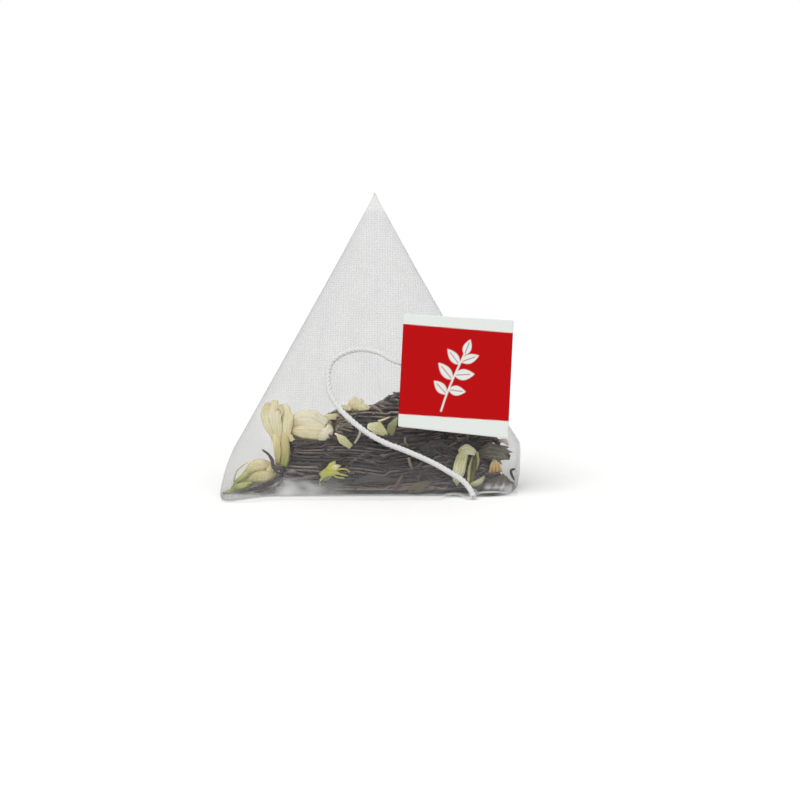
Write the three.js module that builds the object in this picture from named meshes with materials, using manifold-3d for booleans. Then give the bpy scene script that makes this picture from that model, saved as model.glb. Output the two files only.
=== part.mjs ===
// Pyramid tea bag: a mesh tube closed by two heat seals at right angles, filled with leaf tea and
// dried flowers, with a paper tag on a cotton string. Millimetres, +Z up. X runs along the front
// seal, Y towards the back, and the origin is the point of the floor under the bag's apex.
import * as THREE from 'three';
import { mergeVertices } from 'three/addons/utils/BufferGeometryUtils.js';
import Module from 'manifold-3d';

const wasm = await Module();
wasm.setup();

// Bag
const tubeWidth = 60; // the mesh tube laid flat, which is also each seal's length
const sealGap = 58; // length of tube between the two seals
const hemDepth = 3; // the tube's end past each seal, welded flat
const hemThickness = 0.5;
const wall = 0.4;
const apexLean = -0.45; // the apex stands a little to the left
const frontY = tubeWidth ** 2 / (2 * sealGap) - sealGap; // the front seal
const backY = frontY + sealGap; // the back seal's foot
const apexHeight = Math.sqrt(sealGap ** 2 - frontY ** 2);
const apexCap = 0.3; // the welded tip ends this much under the apex
const apexSolid = 4; // and is solid this far down
const apexSlope = 3; // the room inside ends this much lower for each unit of gap
const floorRound = 1.5; // rise of the room's rounded floor edge
const bagHeights = [0, 0.7, 2.5, 4.5, 7, 9.5, 12, 17, 25, 35, 44, apexHeight - apexCap];
const poreRadius = 0.6; // one opening stands for the weave's pores
const porePlace = [5, 9];
const poreSides = 12;
const backHemCut = 0.955; // shares of the back seal where the hem's outer edge and its root end
const backHemRoot = 0.997;
const backHemFoot = 6; // how far the hem runs under the bag's back corner
const hemBite = 1; // how far the front hem reaches in under the panel

// Folds and belly of the filled bag
const foldRadius = 0.45;
const corners = [
  { pull: 3.6, upTo: 6.5 }, // left: extra corner radius at the floor, and where it is crisp again
  { pull: 8.4, upTo: 9 }, // right
  { pull: 3, upTo: 10 }, // back
];
const tucks = [
  { place: [-27.2, -27, 0], shift: [-0.4, -5.4], reach: 5 }, // the left corner is drawn forward
  { place: [24, -19, 5], shift: [1.4, -0.3], reach: 8 }, // the right corner bulges out
];
const bellyHeight = 9;
const belly = [1.2, 1.8, 1.8]; // how far the front, right and left panels bow out
const arcSteps = 4; // round each corner
const sideSteps = 6; // along each panel
const hemTaper = 3; // outline points over which the front hem runs out at each end
const hemWrap = 3; // outline points by which it follows the right corner round

// String and tag
const stringRadius = 0.55;
const stringSteps = 44;
const stringSides = 8;
const stringRoute = [
  [17.0, -29.6, 1.4],
  [16.9, -28.4, 1.4],
  [16.3, -27.4, 1.9],
  [15.1, -26.7, 2.9],
  [12.8, -26.2, 4.3],
  [9.8, -25.6, 5.9],
  [5.3, -25.0, 7.8],
  [1.7, -24.4, 9.1],
  [-1.3, -23.6, 10.6],
  [-4.3, -22.4, 12.7],
  [-6.6, -21.1, 14.8],
  [-8.3, -19.6, 17.4],
  [-8.7, -17.9, 20.2],
  [-8.0, -16.8, 22.4],
  [-6.0, -16.0, 23.8],
  [-3.2, -16.2, 24.6],
  [0.2, -17.8, 24.4],
  [3.0, -19.8, 23.2],
  [5.6, -21.0, 22.6],
  [8.4, -21.8, 22.3],
  [11.4, -22.6, 22.1],
  [14.6, -23.5, 21.9],
];
const tagSize = [19.8, 0.4, 20.2];
const tagPlace = [13.8, -24.6, 21.4];
const tagTurn = { pitch: -8, roll: 1.3, yaw: -15 }; // degrees

// Contents. Points on the front panel are [along the seal, up the slope, depth behind the panel].
const moundCentre = [4, -5, 0];
const moundRadii = [21.5, 31, 18];
const heapGap = 1; // between the heap and the bag
const heapDepth = 3.7; // what lies against the front panel is in front of this
const moundSegments = [28, 18];
const pocketCentre = [-12.6, 14.2, 4.2]; // room in the heap for the lying bud
const pocketRadii = [6.4, 4.2, 4.4];
const pocketSegments = [16, 10];

const budSides = 8;
const buds = [
  {
    name: 'jasmine_bud_upright',
    colour: 0xe6d9a0,
    spine: [
      [-17, 6.6, 2.7],
      [-17.2, 9.4, 2.9],
      [-17.4, 11.4, 3],
      [-17.9, 14.6, 3.3],
      [-17.9, 17.6, 3.7],
    ],
    radii: [1.1, 1.4, 1.5, 2, 1.5],
    flatness: 0.8,
  },
  {
    name: 'jasmine_bud_lying',
    colour: 0xebe0b4,
    spine: [
      [-14.9, 13.6, 4],
      [-13.5, 14, 4.1],
      [-11.4, 14.2, 4.2],
      [-9.4, 14, 4],
      [-7.9, 13.7, 3.8],
    ],
    radii: [1, 2.2, 2.8, 2.7, 1.8],
    flatness: 0.75,
  },
  {
    name: 'jasmine_bud_corner',
    colour: 0xd9d08c,
    spine: [[-23, 3.6, 3.3], [-21.6, 4.6, 3.6], [-19.9, 5.2, 4], [-18.2, 5.3, 4.2]],
    radii: [1.1, 1.9, 1.9, 1],
    flatness: 0.8,
  },
  {
    name: 'jasmine_calyx_corner',
    colour: 0x8e9c3c,
    spine: [[-24.9, 3.2, 4], [-24.3, 3.4, 4], [-23.8, 3.5, 3.9]],
    radii: [0.3, 0.6, 0.65],
    flatness: 0.9,
  },
  {
    name: 'floret_yellow',
    colour: 0xe3d78f,
    spine: [[-5, 17.2, 2.3], [-3.9, 17.7, 2.3], [-2.8, 17.8, 2.3], [-1.8, 17.3, 2.3]],
    radii: [0.6, 1.1, 1.1, 0.6],
    flatness: 0.8,
  },
  {
    name: 'calyx_green',
    colour: 0xb4b838,
    spine: [[-9.4, 4.1, 1.6], [-8.4, 4.9, 1.6], [-7.2, 5.2, 1.7], [-5.4, 4.5, 1.7]],
    radii: [0.5, 0.9, 0.8, 0.4],
    flatness: 0.8,
  },
];

const bladeThickness = 0.3;
const bladeSides = 6;
const bladeStations = 7;
const bladeTip = 0.25; // a blade's width at its ends, as a share of its full width
const blades = [
  {
    name: 'leaf_dark_left',
    colour: 0x3a3430,
    width: 1.8,
    spine: [[-22.8, 2.6, 2.2], [-20.6, 2.6, 1.75], [-17.4, 3.3, 1.65]],
  },
  {
    name: 'petal_cream_top',
    colour: 0xded28c,
    width: 1.1,
    spine: [[-7.2, 16.3, 3.2], [-5.6, 16.2, 3], [-4, 15.6, 2.8]],
  },
  {
    name: 'petal_sliver',
    colour: 0xc9c983,
    width: 1.2,
    spine: [[-7.2, 11.5, 1.3], [-5.8, 10.4, 1.1], [-4.4, 9.4, 1.3]],
  },
  {
    name: 'petal_kite',
    colour: 0xbfc184,
    width: 2.4,
    spine: [[-1.4, 12.6, 1.2], [0, 13, 1], [1.5, 12.4, 1.3]],
  },
  {
    name: 'petal_olive',
    colour: 0x9a9c58,
    width: 1.6,
    spine: [[2, 12.4, 1.8], [2.8, 13.6, 1.7], [3.4, 14.8, 1.9]],
  },
  {
    name: 'petal_large',
    colour: 0xc4c482,
    width: 3,
    spine: [[14.2, 2.7, 2.2], [14.5, 6, 1.6], [15.9, 9.5, 2.2]],
  },
  {
    name: 'petal_curled_tip',
    colour: 0xd0cd94,
    width: 0.9,
    spine: [[16.6, 2.6, 2.2], [17.5, 3.2, 2.1], [18.4, 4.4, 2]],
  },
  {
    name: 'petal_orange',
    colour: 0xd7a650,
    width: 2,
    spine: [[20.3, 5.4, 2.2], [20.7, 6.2, 2.1], [21, 7.2, 2.3]],
  },
  {
    name: 'leaf_brown_inner',
    colour: 0x7a6a3a,
    width: 1.4,
    spine: [[17, 4, 1.9], [17.3, 6, 1.7], [17.8, 7.8, 1.9]],
  },
  {
    name: 'leaf_brown_front',
    colour: 0x5d5138,
    width: 1.6,
    spine: [[5.8, 2, 1.4], [7.6, 2.3, 1.2], [9.5, 2.8, 1.3]],
  },
  {
    name: 'leaf_serrated',
    colour: 0x4d4c42,
    width: 2.4,
    spine: [[18.6, 9.2, 3], [20.9, 9.4, 3.2], [23, 8.9, 3.5]],
  },
  {
    name: 'leaf_olive_right',
    colour: 0x5b5634,
    width: 1.5,
    spine: [[18.5, 3, 2.8], [19.8, 3.3, 2.9], [21, 3.6, 3.1]],
  },
  {
    name: 'petal_pink',
    colour: 0xd8b9a4,
    width: 1,
    spine: [[21.3, 11.2, 2.6], [21.8, 10.9, 2.6], [22.3, 10.5, 2.8]],
  },
  {
    name: 'leaf_wide_centre',
    colour: 0x3f3a37,
    width: 2.2,
    spine: [[-3.6, 3, 2.6], [-0.8, 3.6, 2.4], [2.6, 3.2, 2.6]],
  },
  {
    name: 'leaf_wide_right',
    colour: 0x4a4440,
    width: 2,
    spine: [[8.2, 9.4, 2.6], [10.4, 9.8, 2.4], [12.6, 9.2, 2.6]],
  },
];

const stalkSides = 6;
const stalkSteps = 4;
const stalks = [
  {
    name: 'stalk_curled_left',
    colour: 0x2c2725,
    radius: 0.28,
    spine: [[-20, 8.5, 1], [-18.8, 7.5, 0.95], [-18.6, 6.3, 0.95]],
  },
  {
    name: 'stalk_pale',
    colour: 0xb9b48c,
    radius: 0.25,
    spine: [[-2.9, 12.2, 1.6], [-3.2, 11.2, 1.5], [-3.8, 10.3, 1.6]],
  },
  {
    name: 'stalk_upper',
    colour: 0xa8a27c,
    radius: 0.25,
    spine: [[5.3, 11.1, 1.6], [5.2, 10.3, 1.5], [5.6, 9.6, 1.6]],
  },
  {
    name: 'stalk_lower',
    colour: 0x9d9a72,
    radius: 0.25,
    spine: [[5.8, 7.2, 1.5], [6.1, 6.2, 1.4], [6.5, 5.2, 1.5]],
  },
  {
    name: 'stalk_red',
    colour: 0x6a4636,
    radius: 0.35,
    spine: [[3.4, 1.8, 1.6], [3.9, 2.9, 1.5], [4.6, 4.1, 1.5]],
  },
  {
    name: 'stalk_curled_right',
    colour: 0x4a3536,
    radius: 0.25,
    spine: [[22.5, 6.5, 3], [22.9, 5.8, 3.1], [22.4, 5, 3.2]],
  },
];

// A closed solid through rings of points, each ring counter-clockwise about the way it is travelled.
function loft(rings) {
  const count = rings[0].length;
  const points = rings.flat();
  const faces = [];
  for (let i = 0; i < rings.length - 1; i++) {
    for (let j = 0; j < count; j++) {
      const a = i * count + j;
      const b = i * count + ((j + 1) % count);
      faces.push(a, b, b + count, a, b + count, a + count);
    }
  }
  const last = (rings.length - 1) * count;
  const ends = [rings[0], rings.at(-1)].map(centreOf);
  for (let j = 0; j < count; j++) {
    const next = (j + 1) % count;
    faces.push(points.length, next, j);
    faces.push(points.length + 1, last + j, last + next);
  }
  const geometry = new THREE.BufferGeometry().setFromPoints([...points, ...ends]);
  geometry.setIndex(faces);
  return geometry;
}

function centreOf(ring) {
  const sum = new THREE.Vector3();
  ring.forEach((p) => sum.add(p));
  return sum.divideScalar(ring.length);
}

// The bag's outline at one height, counter-clockwise from above and moved in by inset: a triangle
// with round corners and bowed sides.
function outline(height, inset) {
  const left = 1 - height / apexHeight;
  const lean = apexLean * (1 - left);
  const triangle = [
    new THREE.Vector2(lean - (tubeWidth / 2) * left, frontY * left),
    new THREE.Vector2(lean + (tubeWidth / 2) * left, frontY * left),
    new THREE.Vector2(lean, backY * left),
  ];
  const perimeter = tubeWidth + 2 * Math.hypot(tubeWidth / 2, sealGap);
  const inscribed = (tubeWidth * sealGap * left) / perimeter;
  const normals = triangle.map((p, i) => {
    const along = triangle[(i + 1) % 3].clone().sub(p).normalize();
    return new THREE.Vector2(along.y, -along.x);
  });
  const bow = (height / bellyHeight) * Math.exp(1 - height / bellyHeight);
  const arcs = triangle.map((p, i) => {
    const before = normals[(i + 2) % 3];
    const after = normals[i];
    const pull = corners[i].pull * Math.max(0, 1 - height / corners[i].upTo);
    const radius = Math.min(foldRadius + pull, 0.5 * inscribed);
    const middle = before.clone().add(after);
    const centre = p.clone().addScaledVector(middle, -radius / (1 + before.dot(after)));
    const start = before.angle();
    const sweep = (after.angle() - start + 2 * Math.PI) % (2 * Math.PI);
    return Array.from({ length: arcSteps + 1 }, (_, k) => {
      const angle = start + (sweep * k) / arcSteps;
      const ray = new THREE.Vector2(Math.cos(angle), Math.sin(angle));
      return centre.clone().addScaledVector(ray, radius - inset);
    });
  });
  return arcs.flatMap((arc, i) => {
    const from = arc.at(-1);
    const to = arcs[(i + 1) % 3][0];
    const side = Array.from({ length: sideSteps - 1 }, (_, k) => {
      const share = (k + 1) / sideSteps;
      const point = from.clone().lerp(to, share);
      return point.addScaledVector(normals[i], belly[i] * bow * Math.sin(Math.PI * share));
    });
    return [...arc, ...side].map((point) => tucked(point, height));
  });
}

// A point of the outline, pushed with the front corners.
function tucked(point, height) {
  const result = point.clone();
  tucks.forEach(({ place, shift, reach }) => {
    const away = Math.hypot(point.x - place[0], point.y - place[1], height - place[2]);
    result.addScaledVector(new THREE.Vector2(...shift), Math.exp(-((away / reach) ** 2)));
  });
  return result;
}

function ring(height, inset) {
  return outline(height, inset).map((p) => new THREE.Vector3(p.x, p.y, height));
}

function solidOf(geometry) {
  const bare = new THREE.BufferGeometry();
  bare.setAttribute('position', geometry.getAttribute('position'));
  bare.setIndex(geometry.index);
  const merged = mergeVertices(bare, 1e-4);
  return new wasm.Manifold(
    new wasm.Mesh({
      numProp: 3,
      vertProperties: merged.attributes.position.array,
      triVerts: new Uint32Array(merged.index.array),
    }),
  );
}

function geometryOf(solid) {
  const mesh = solid.getMesh();
  const geometry = new THREE.BufferGeometry();
  geometry.setAttribute('position', new THREE.BufferAttribute(mesh.vertProperties, 3));
  geometry.setIndex(new THREE.BufferAttribute(mesh.triVerts, 1));
  return geometry;
}

function piece(name, geometry, colour, roughness) {
  geometry.computeVertexNormals();
  const material = new THREE.MeshStandardMaterial({ color: colour, roughness, metalness: 0 });
  const mesh = new THREE.Mesh(geometry, material);
  mesh.name = name;
  return mesh;
}

// The space inside the bag, kept clear of its wall by gap.
function cavity(gap) {
  const inset = wall + gap;
  const top = apexHeight - apexSolid - apexSlope * gap;
  const heights = [inset + floorRound, ...bagHeights.slice(3, -2), top];
  const floor = ring(inset, inset + foldRadius / 2);
  return loft([floor, ...heights.map((height) => ring(height, inset))]);
}

// The welded strip along the front seal, lying forward on the floor and running out at the corners.
function frontHem() {
  const inner = outline(hemThickness, hemBite);
  const seam = outline(hemThickness, 0);
  const wide = outline(hemThickness, -hemDepth);
  const first = 1;
  const last = arcSteps + sideSteps + hemWrap;
  const reach = (i) => Math.min(1, (i - first) / hemTaper, (last - i) / hemTaper);
  const outer = seam.map((p, i) => p.lerp(wide[i], reach(i))).slice(first, last + 1);
  const edge = [...outer, ...inner.slice(first, last + 1).reverse()];
  return extruded(edge, hemThickness);
}

// The welded strip up the back seal, standing out from the back edge and cut level with the apex.
function backHem() {
  const foot = new THREE.Vector2(backY, 0);
  const apex = new THREE.Vector2(0, apexHeight);
  const up = apex.clone().sub(foot).normalize();
  const out = new THREE.Vector2(up.y, -up.x);
  const edge = (share, reach) => foot.clone().lerp(apex, share).addScaledVector(out, reach);
  const shape = [
    new THREE.Vector2(backY - backHemFoot, 0),
    edge(0, 0),
    edge(0, hemDepth),
    edge(backHemCut, hemDepth),
    edge(backHemRoot, -wall),
  ];
  const geometry = extruded(shape, hemThickness);
  geometry.translate(0, 0, -hemThickness / 2);
  geometry.rotateX(Math.PI / 2);
  geometry.rotateZ(Math.PI / 2);
  return geometry;
}

function extruded(points, depth) {
  return new THREE.ExtrudeGeometry(new THREE.Shape(points), { depth, bevelEnabled: false });
}

function meshBag() {
  const outer = loft(bagHeights.map((height, i) => ring(height, i === 0 ? foldRadius / 2 : 0)));
  const pore = new THREE.CylinderGeometry(poreRadius, poreRadius, 4 * wall, poreSides);
  pore.rotateX(Math.PI / 2);
  pore.translate(...porePlace, 0);
  const bag = solidOf(outer)
    .add(solidOf(frontHem()))
    .add(solidOf(backHem()))
    .subtract(solidOf(cavity(0)))
    .subtract(solidOf(pore));
  return piece('mesh_bag', geometryOf(bag), 0xe4e2e4, 0.6);
}

// A round section swept along points: the string and the thin stalks.
function sweep(points, radius, sides, steps) {
  const section = new THREE.Shape(
    Array.from({ length: sides }, (_, i) => {
      const angle = (2 * Math.PI * i) / sides;
      return new THREE.Vector2(radius * Math.cos(angle), radius * Math.sin(angle));
    }),
  );
  const path = new THREE.CatmullRomCurve3(points.map((p) => new THREE.Vector3(...p)));
  return new THREE.ExtrudeGeometry(section, { steps, extrudePath: path, bevelEnabled: false });
}

function string() {
  const geometry = sweep(stringRoute, stringRadius, stringSides, stringSteps);
  return piece('string', geometry, 0xf2f2ef, 0.9);
}

function tag() {
  const card = piece('tag', new THREE.BoxGeometry(...tagSize), 0xc01418, 0.5);
  const radians = THREE.MathUtils.degToRad;
  card.position.set(...tagPlace);
  card.rotation.set(radians(tagTurn.pitch), radians(tagTurn.roll), radians(tagTurn.yaw), 'ZXY');
  return card;
}

// The front panel's own frame: X along the seal, Y up the slope and Z out of the bag.
function frontPanel() {
  const panel = new THREE.Group();
  panel.position.set(0, frontY, 0);
  panel.rotation.x = Math.atan2(apexHeight, -frontY);
  panel.updateMatrix();
  return panel;
}

function onPanel([along, up, depth]) {
  return new THREE.Vector3(along, up, -depth);
}

// Rings of points round a spine on the front panel, shaped by half-width, half-thickness and sides.
function ringsAlong(spine, stations, sides, sizeAt) {
  const path = new THREE.CatmullRomCurve3(spine.map(onPanel));
  const outward = new THREE.Vector3(0, 0, 1);
  return Array.from({ length: stations }, (_, i) => {
    const share = i / (stations - 1);
    const centre = path.getPoint(share);
    const tangent = path.getTangent(share);
    const across = outward.clone().cross(tangent).normalize();
    const through = tangent.clone().cross(across);
    const [halfWidth, halfThickness] = sizeAt(share);
    return Array.from({ length: sides }, (_, k) => {
      const angle = (2 * Math.PI * k) / sides;
      return centre
        .clone()
        .addScaledVector(across, halfWidth * Math.cos(angle))
        .addScaledVector(through, halfThickness * Math.sin(angle));
    });
  });
}

function bud({ name, colour, spine, radii, flatness }) {
  const stations = 2 * radii.length - 1;
  const radiusAt = (share) => {
    const place = share * (radii.length - 1);
    const low = Math.min(Math.floor(place), radii.length - 2);
    return THREE.MathUtils.lerp(radii[low], radii[low + 1], place - low);
  };
  const sizeAt = (share) => [radiusAt(share), flatness * radiusAt(share)];
  return piece(name, loft(ringsAlong(spine, stations, budSides, sizeAt)), colour, 0.8);
}

function blade({ name, colour, width, spine }) {
  const sizeAt = (share) => [
    (width / 2) * (bladeTip + (1 - bladeTip) * Math.sin(Math.PI * share)),
    bladeThickness / 2,
  ];
  return piece(name, loft(ringsAlong(spine, bladeStations, bladeSides, sizeAt)), colour, 0.8);
}

function stalk({ name, colour, radius, spine }) {
  const points = spine.map((point) => onPanel(point).toArray());
  return piece(name, sweep(points, radius, stalkSides, stalkSteps), colour, 0.8);
}

// The heap of small leaves: a mound inside the bag, open in front for what lies against the panel.
function leafBed(panel) {
  const mound = new THREE.SphereGeometry(1, ...moundSegments);
  mound.scale(...moundRadii);
  mound.translate(...moundCentre);
  const reach = tubeWidth;
  const front = new THREE.BoxGeometry(2 * reach, 2 * reach, reach);
  front.translate(0, 0, reach / 2 - heapDepth);
  front.applyMatrix4(panel.matrix);
  const pocket = new THREE.SphereGeometry(1, ...pocketSegments);
  pocket.scale(...pocketRadii);
  pocket.translate(...onPanel(pocketCentre).toArray());
  pocket.applyMatrix4(panel.matrix);
  const bed = solidOf(mound)
    .intersect(solidOf(cavity(heapGap)))
    .subtract(solidOf(front))
    .subtract(solidOf(pocket));
  return piece('tea_leaf_bed', geometryOf(bed), 0x4a423f, 0.9);
}

function pyramidTeaBag() {
  const panel = frontPanel();
  panel.add(...buds.map(bud), ...blades.map(blade), ...stalks.map(stalk));
  const group = new THREE.Group();
  group.add(meshBag(), string(), tag(), leafBed(panel), panel);
  return group;
}

export default pyramidTeaBag();
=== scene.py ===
"""The looks of the pyramid tea bag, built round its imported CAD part.

Shapes are worked out in millimetres and turned into metres when a mesh is made. The front panel has
its own coordinates: u along the front seal, v up the slope and depth behind the panel.
"""

import math
import random

import bpy
import numpy as np
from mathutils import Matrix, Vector, noise


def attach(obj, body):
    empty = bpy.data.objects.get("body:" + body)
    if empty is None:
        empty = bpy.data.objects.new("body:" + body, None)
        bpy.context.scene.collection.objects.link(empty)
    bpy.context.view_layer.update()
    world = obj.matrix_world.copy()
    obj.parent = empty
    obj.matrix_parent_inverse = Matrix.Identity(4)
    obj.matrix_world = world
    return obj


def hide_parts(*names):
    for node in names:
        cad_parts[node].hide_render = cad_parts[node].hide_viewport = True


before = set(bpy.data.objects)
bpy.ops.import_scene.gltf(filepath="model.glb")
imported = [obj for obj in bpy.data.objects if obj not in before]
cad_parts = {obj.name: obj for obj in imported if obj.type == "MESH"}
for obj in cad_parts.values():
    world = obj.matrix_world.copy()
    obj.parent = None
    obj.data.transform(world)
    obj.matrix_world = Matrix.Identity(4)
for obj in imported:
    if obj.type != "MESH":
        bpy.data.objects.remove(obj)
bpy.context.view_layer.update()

MM = 0.001
dice = random.Random(11)

# ---------------------------------------------------------------- the bag's shape
TUBE = 60.0
GAP = 58.0
HEM = 3.0
WALL = 0.1
LEAN = -0.45
FRONT_Y = TUBE**2 / (2 * GAP) - GAP
BACK_Y = FRONT_Y + GAP
APEX = math.sqrt(GAP**2 - FRONT_Y**2)
FOLD = 0.2  # radius of a fold of the cloth
FLOOR_GAP = 0.06
TIP_RISE = 0.4
BAG_STEPS = 104
# How far each corner is rounded at the floor, up to what height, and how fast that fades.
CORNERS = ((3.9, 8.0, 1.5), (8.7, 9.0, 1.0), (3.3, 10.0, 1.0))
# Where the outline is pushed sideways: centre, shift and range.
TUCKS = (
    ((-27.2, -27.0, 0.0), (-0.4, -5.4), 5.0),
    ((24.0, -19.0, 5.0), (1.4, -0.3), 8.0),
    ((22.0, -25.0, 0.0), (0.7, -1.3), 4.5),
)
BELLY = (1.2, 1.8, 1.8)  # how far the front, right and left sides bow out
BELLY_HEIGHT = 9.0
UP = np.array((0.0, -FRONT_Y / GAP, APEX / GAP))
OUT = np.array((0.0, -APEX / GAP, -FRONT_Y / GAP))
FOOT = np.array((0.0, FRONT_Y, 0.0))
ACROSS = np.array((1.0, 0.0, 0.0))


def on_panel(points):
    """Points in the bag's frame, from points (u, v, depth) on the front panel."""
    p = np.asarray(points, float)
    return FOOT + p[..., 0:1] * ACROSS + p[..., 1:2] * UP - p[..., 2:3] * OUT


def centre_at(height):
    """The middle of the outline at one height, or at each of many."""
    left = 1 - height / APEX
    return np.stack((LEAN * (1 - left), (2 * FRONT_Y + BACK_Y) / 3 * left), axis=-1)


def corners_at(height):
    """The sharp pyramid's left, right and back corners at one height."""
    left = 1 - height / APEX
    lean = LEAN * (1 - left)
    half = TUBE / 2 * left
    return np.array(((lean - half, FRONT_Y * left), (lean + half, FRONT_Y * left), (lean, BACK_Y * left)))


def outline(height, arc_steps=10, side_steps=30):
    """The bag's outline at one height: a triangle with round corners and bowed sides."""
    left = 1 - height / APEX
    corner = corners_at(height)
    inscribed = TUBE * GAP * left / (TUBE + 2 * math.hypot(TUBE / 2, GAP))
    along = np.roll(corner, -1, axis=0) - corner
    along /= np.linalg.norm(along, axis=1)[:, None]
    normal = np.stack((along[:, 1], -along[:, 0]), axis=1)
    bow = height / BELLY_HEIGHT * math.exp(1 - height / BELLY_HEIGHT)
    arcs = []
    for i in range(3):
        before, after = normal[i - 1], normal[i]
        most, upto, power = CORNERS[i]
        pull = most * max(0.0, 1 - height / upto) ** power
        radius = min(FOLD + pull, 0.5 * inscribed)
        middle = corner[i] - (before + after) * radius / (1 + before @ after)
        start = math.atan2(before[1], before[0])
        sweep = (math.atan2(after[1], after[0]) - start) % (2 * math.pi)
        angle = start + sweep * np.linspace(0, 1, arc_steps + 1)
        arcs.append(middle + radius * np.stack((np.cos(angle), np.sin(angle)), axis=1))
    share = np.linspace(0, 1, side_steps + 1)[1:-1, None]
    points = []
    for i in range(3):
        a, b = arcs[i][-1], arcs[(i + 1) % 3][0]
        side = a + (b - a) * share + normal[i] * BELLY[i] * bow * np.sin(math.pi * share)
        points += [arcs[i], side]
    return tuck(np.concatenate(points), height)


def tuck(points, height):
    """The outline with its two front corners pushed to where the lying bag holds them."""
    out = points.copy()
    for place, shift, reach in TUCKS:
        away = np.sum((points - place[:2]) ** 2, axis=1) + (height - place[2]) ** 2
        out += np.exp(-away / reach**2)[:, None] * np.array(shift)
    return out


def reach_at(height, angles):
    """How far the outline is from the centre line in each direction."""
    points = outline(height) - centre_at(height)
    turn = np.arctan2(points[:, 1], points[:, 0])
    order = np.argsort(turn)
    points, turn = points[order], turn[order]
    after = np.searchsorted(turn, angles) % len(turn)
    a, b = points[after - 1], points[after]
    side = b - a
    ray = np.stack((np.cos(angles), np.sin(angles)), axis=1)
    top = a[:, 0] * side[:, 1] - a[:, 1] * side[:, 0]
    return top / (ray[:, 0] * side[:, 1] - ray[:, 1] * side[:, 0])


ROOM_HEIGHTS = np.linspace(0, APEX - 1, 120)
ROOM_ANGLES = np.linspace(-math.pi, math.pi, 361)
ROOM = np.array([reach_at(h, ROOM_ANGLES) for h in ROOM_HEIGHTS])


def keep_inside(points, gap):
    """The same points, moved in where they are nearer the bag's wall than gap."""
    p = np.array(points, float)
    p[:, 2] = np.maximum(p[:, 2], gap)
    height = np.clip(p[:, 2], 0, APEX - 1.01)
    row = height / (APEX - 1) * (len(ROOM_HEIGHTS) - 1)
    low = row.astype(int)
    part = row - low
    centre = centre_at(height)
    away = p[:, :2] - centre
    far = np.linalg.norm(away, axis=1) + 1e-9
    angle = np.arctan2(away[:, 1], away[:, 0])
    column = ((angle + math.pi) / (2 * math.pi) * 360).astype(int) % 360
    reach = ROOM[low, column] * (1 - part) + ROOM[low + 1, column] * part
    limit = np.maximum(reach - gap * 1.25, 0.1)
    p[:, :2] = centre + away * np.minimum(1, limit / far)[:, None]
    return p


# ---------------------------------------------------------------- meshes
class Skin:
    """Collects closed shapes into one mesh, with a colour at every point."""

    def __init__(self):
        self.points = []
        self.faces = []
        self.tints = []

    def rings(self, rings, tint, hollow=None):
        """A closed shape through rings of points (stations, sides, 3); hollow sinks its far end."""
        rings = np.asarray(rings, float)
        stations, sides = rings.shape[:2]
        base = len(self.points)
        tint = np.broadcast_to(np.asarray(tint, float), (stations, sides, 3))
        self.points += rings.reshape(-1, 3).tolist()
        self.tints += tint.reshape(-1, 3).tolist()
        for i in range(stations - 1):
            for j in range(sides):
                a = base + i * sides + j
                b = base + i * sides + (j + 1) % sides
                self.faces.append((a, b, b + sides, a + sides))
        for i, way in ((0, -1), (stations - 1, 1)):
            first = base + i * sides
            centre = len(self.points)
            middle = rings[i].mean(axis=0)
            if way == 1 and hollow is not None:
                middle = middle + hollow
            self.points.append(middle.tolist())
            self.tints.append(tint[i].mean(axis=0).tolist())
            for j in range(sides):
                edge = (first + j, first + (j + 1) % sides)
                self.faces.append((centre, *edge[::way]))

    def object(self, name, nodes, slot):
        return mesh_object(name, self.points, self.faces, nodes, slot, self.tints)


def mesh_object(name, points, faces, nodes, slot, tints):
    """A visible piece in the material of its slot, in place of the CAD nodes."""
    mesh = bpy.data.meshes.new(name)
    mesh.from_pydata((np.asarray(points) * MM).tolist(), [], faces)
    mesh.validate()
    layer = mesh.color_attributes.new("tint", "FLOAT_COLOR", "POINT")
    colours = np.ones((len(mesh.vertices), 4), np.float32)
    colours[:, :3] = tints
    layer.data.foreach_set("color", colours.ravel())
    mesh.polygons.foreach_set("use_smooth", [True] * len(mesh.polygons))
    mesh.materials.append(LOOKS[slot])
    mesh.update()
    piece = bpy.data.objects.new(name, mesh)
    bpy.context.scene.collection.objects.link(piece)
    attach(piece, "root")
    if nodes:
        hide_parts(*nodes)
    return piece


def curve(points, count):
    """A smooth line through points (Catmull-Rom)."""
    p = np.asarray(points, float)
    p = np.concatenate((2 * p[:1] - p[1:2], p, 2 * p[-1:] - p[-2:-1]))
    t = np.linspace(0, len(p) - 3, count)
    i = np.minimum(t.astype(int), len(p) - 4)
    f = (t - i)[:, None]
    a, b, c, d = p[i], p[i + 1], p[i + 2], p[i + 3]
    return 0.5 * (
        2 * b + (c - a) * f + (2 * a - 5 * b + 4 * c - d) * f**2 + (3 * b - a - 3 * c + d) * f**3
    )


def frames(path, facing):
    """Along, across and through directions at each point of a path, across square to facing."""
    along = np.gradient(path, axis=0)
    along /= np.linalg.norm(along, axis=1)[:, None] + 1e-12
    across = np.cross(np.broadcast_to(facing, along.shape), along)
    across /= np.linalg.norm(across, axis=1)[:, None] + 1e-9
    return along, across, np.cross(along, across)


def carried_frames(path):
    """Across and through directions carried along a path without turning about it."""
    along = np.gradient(path, axis=0)
    along /= np.linalg.norm(along, axis=1)[:, None]
    across = np.cross(along[0], (0.3, 0.5, 0.8))
    out = []
    for step in along:
        across = across - step * (across @ step)
        across /= np.linalg.norm(across)
        out.append(across)
    across = np.array(out)
    return across, np.cross(along, across)


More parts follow.
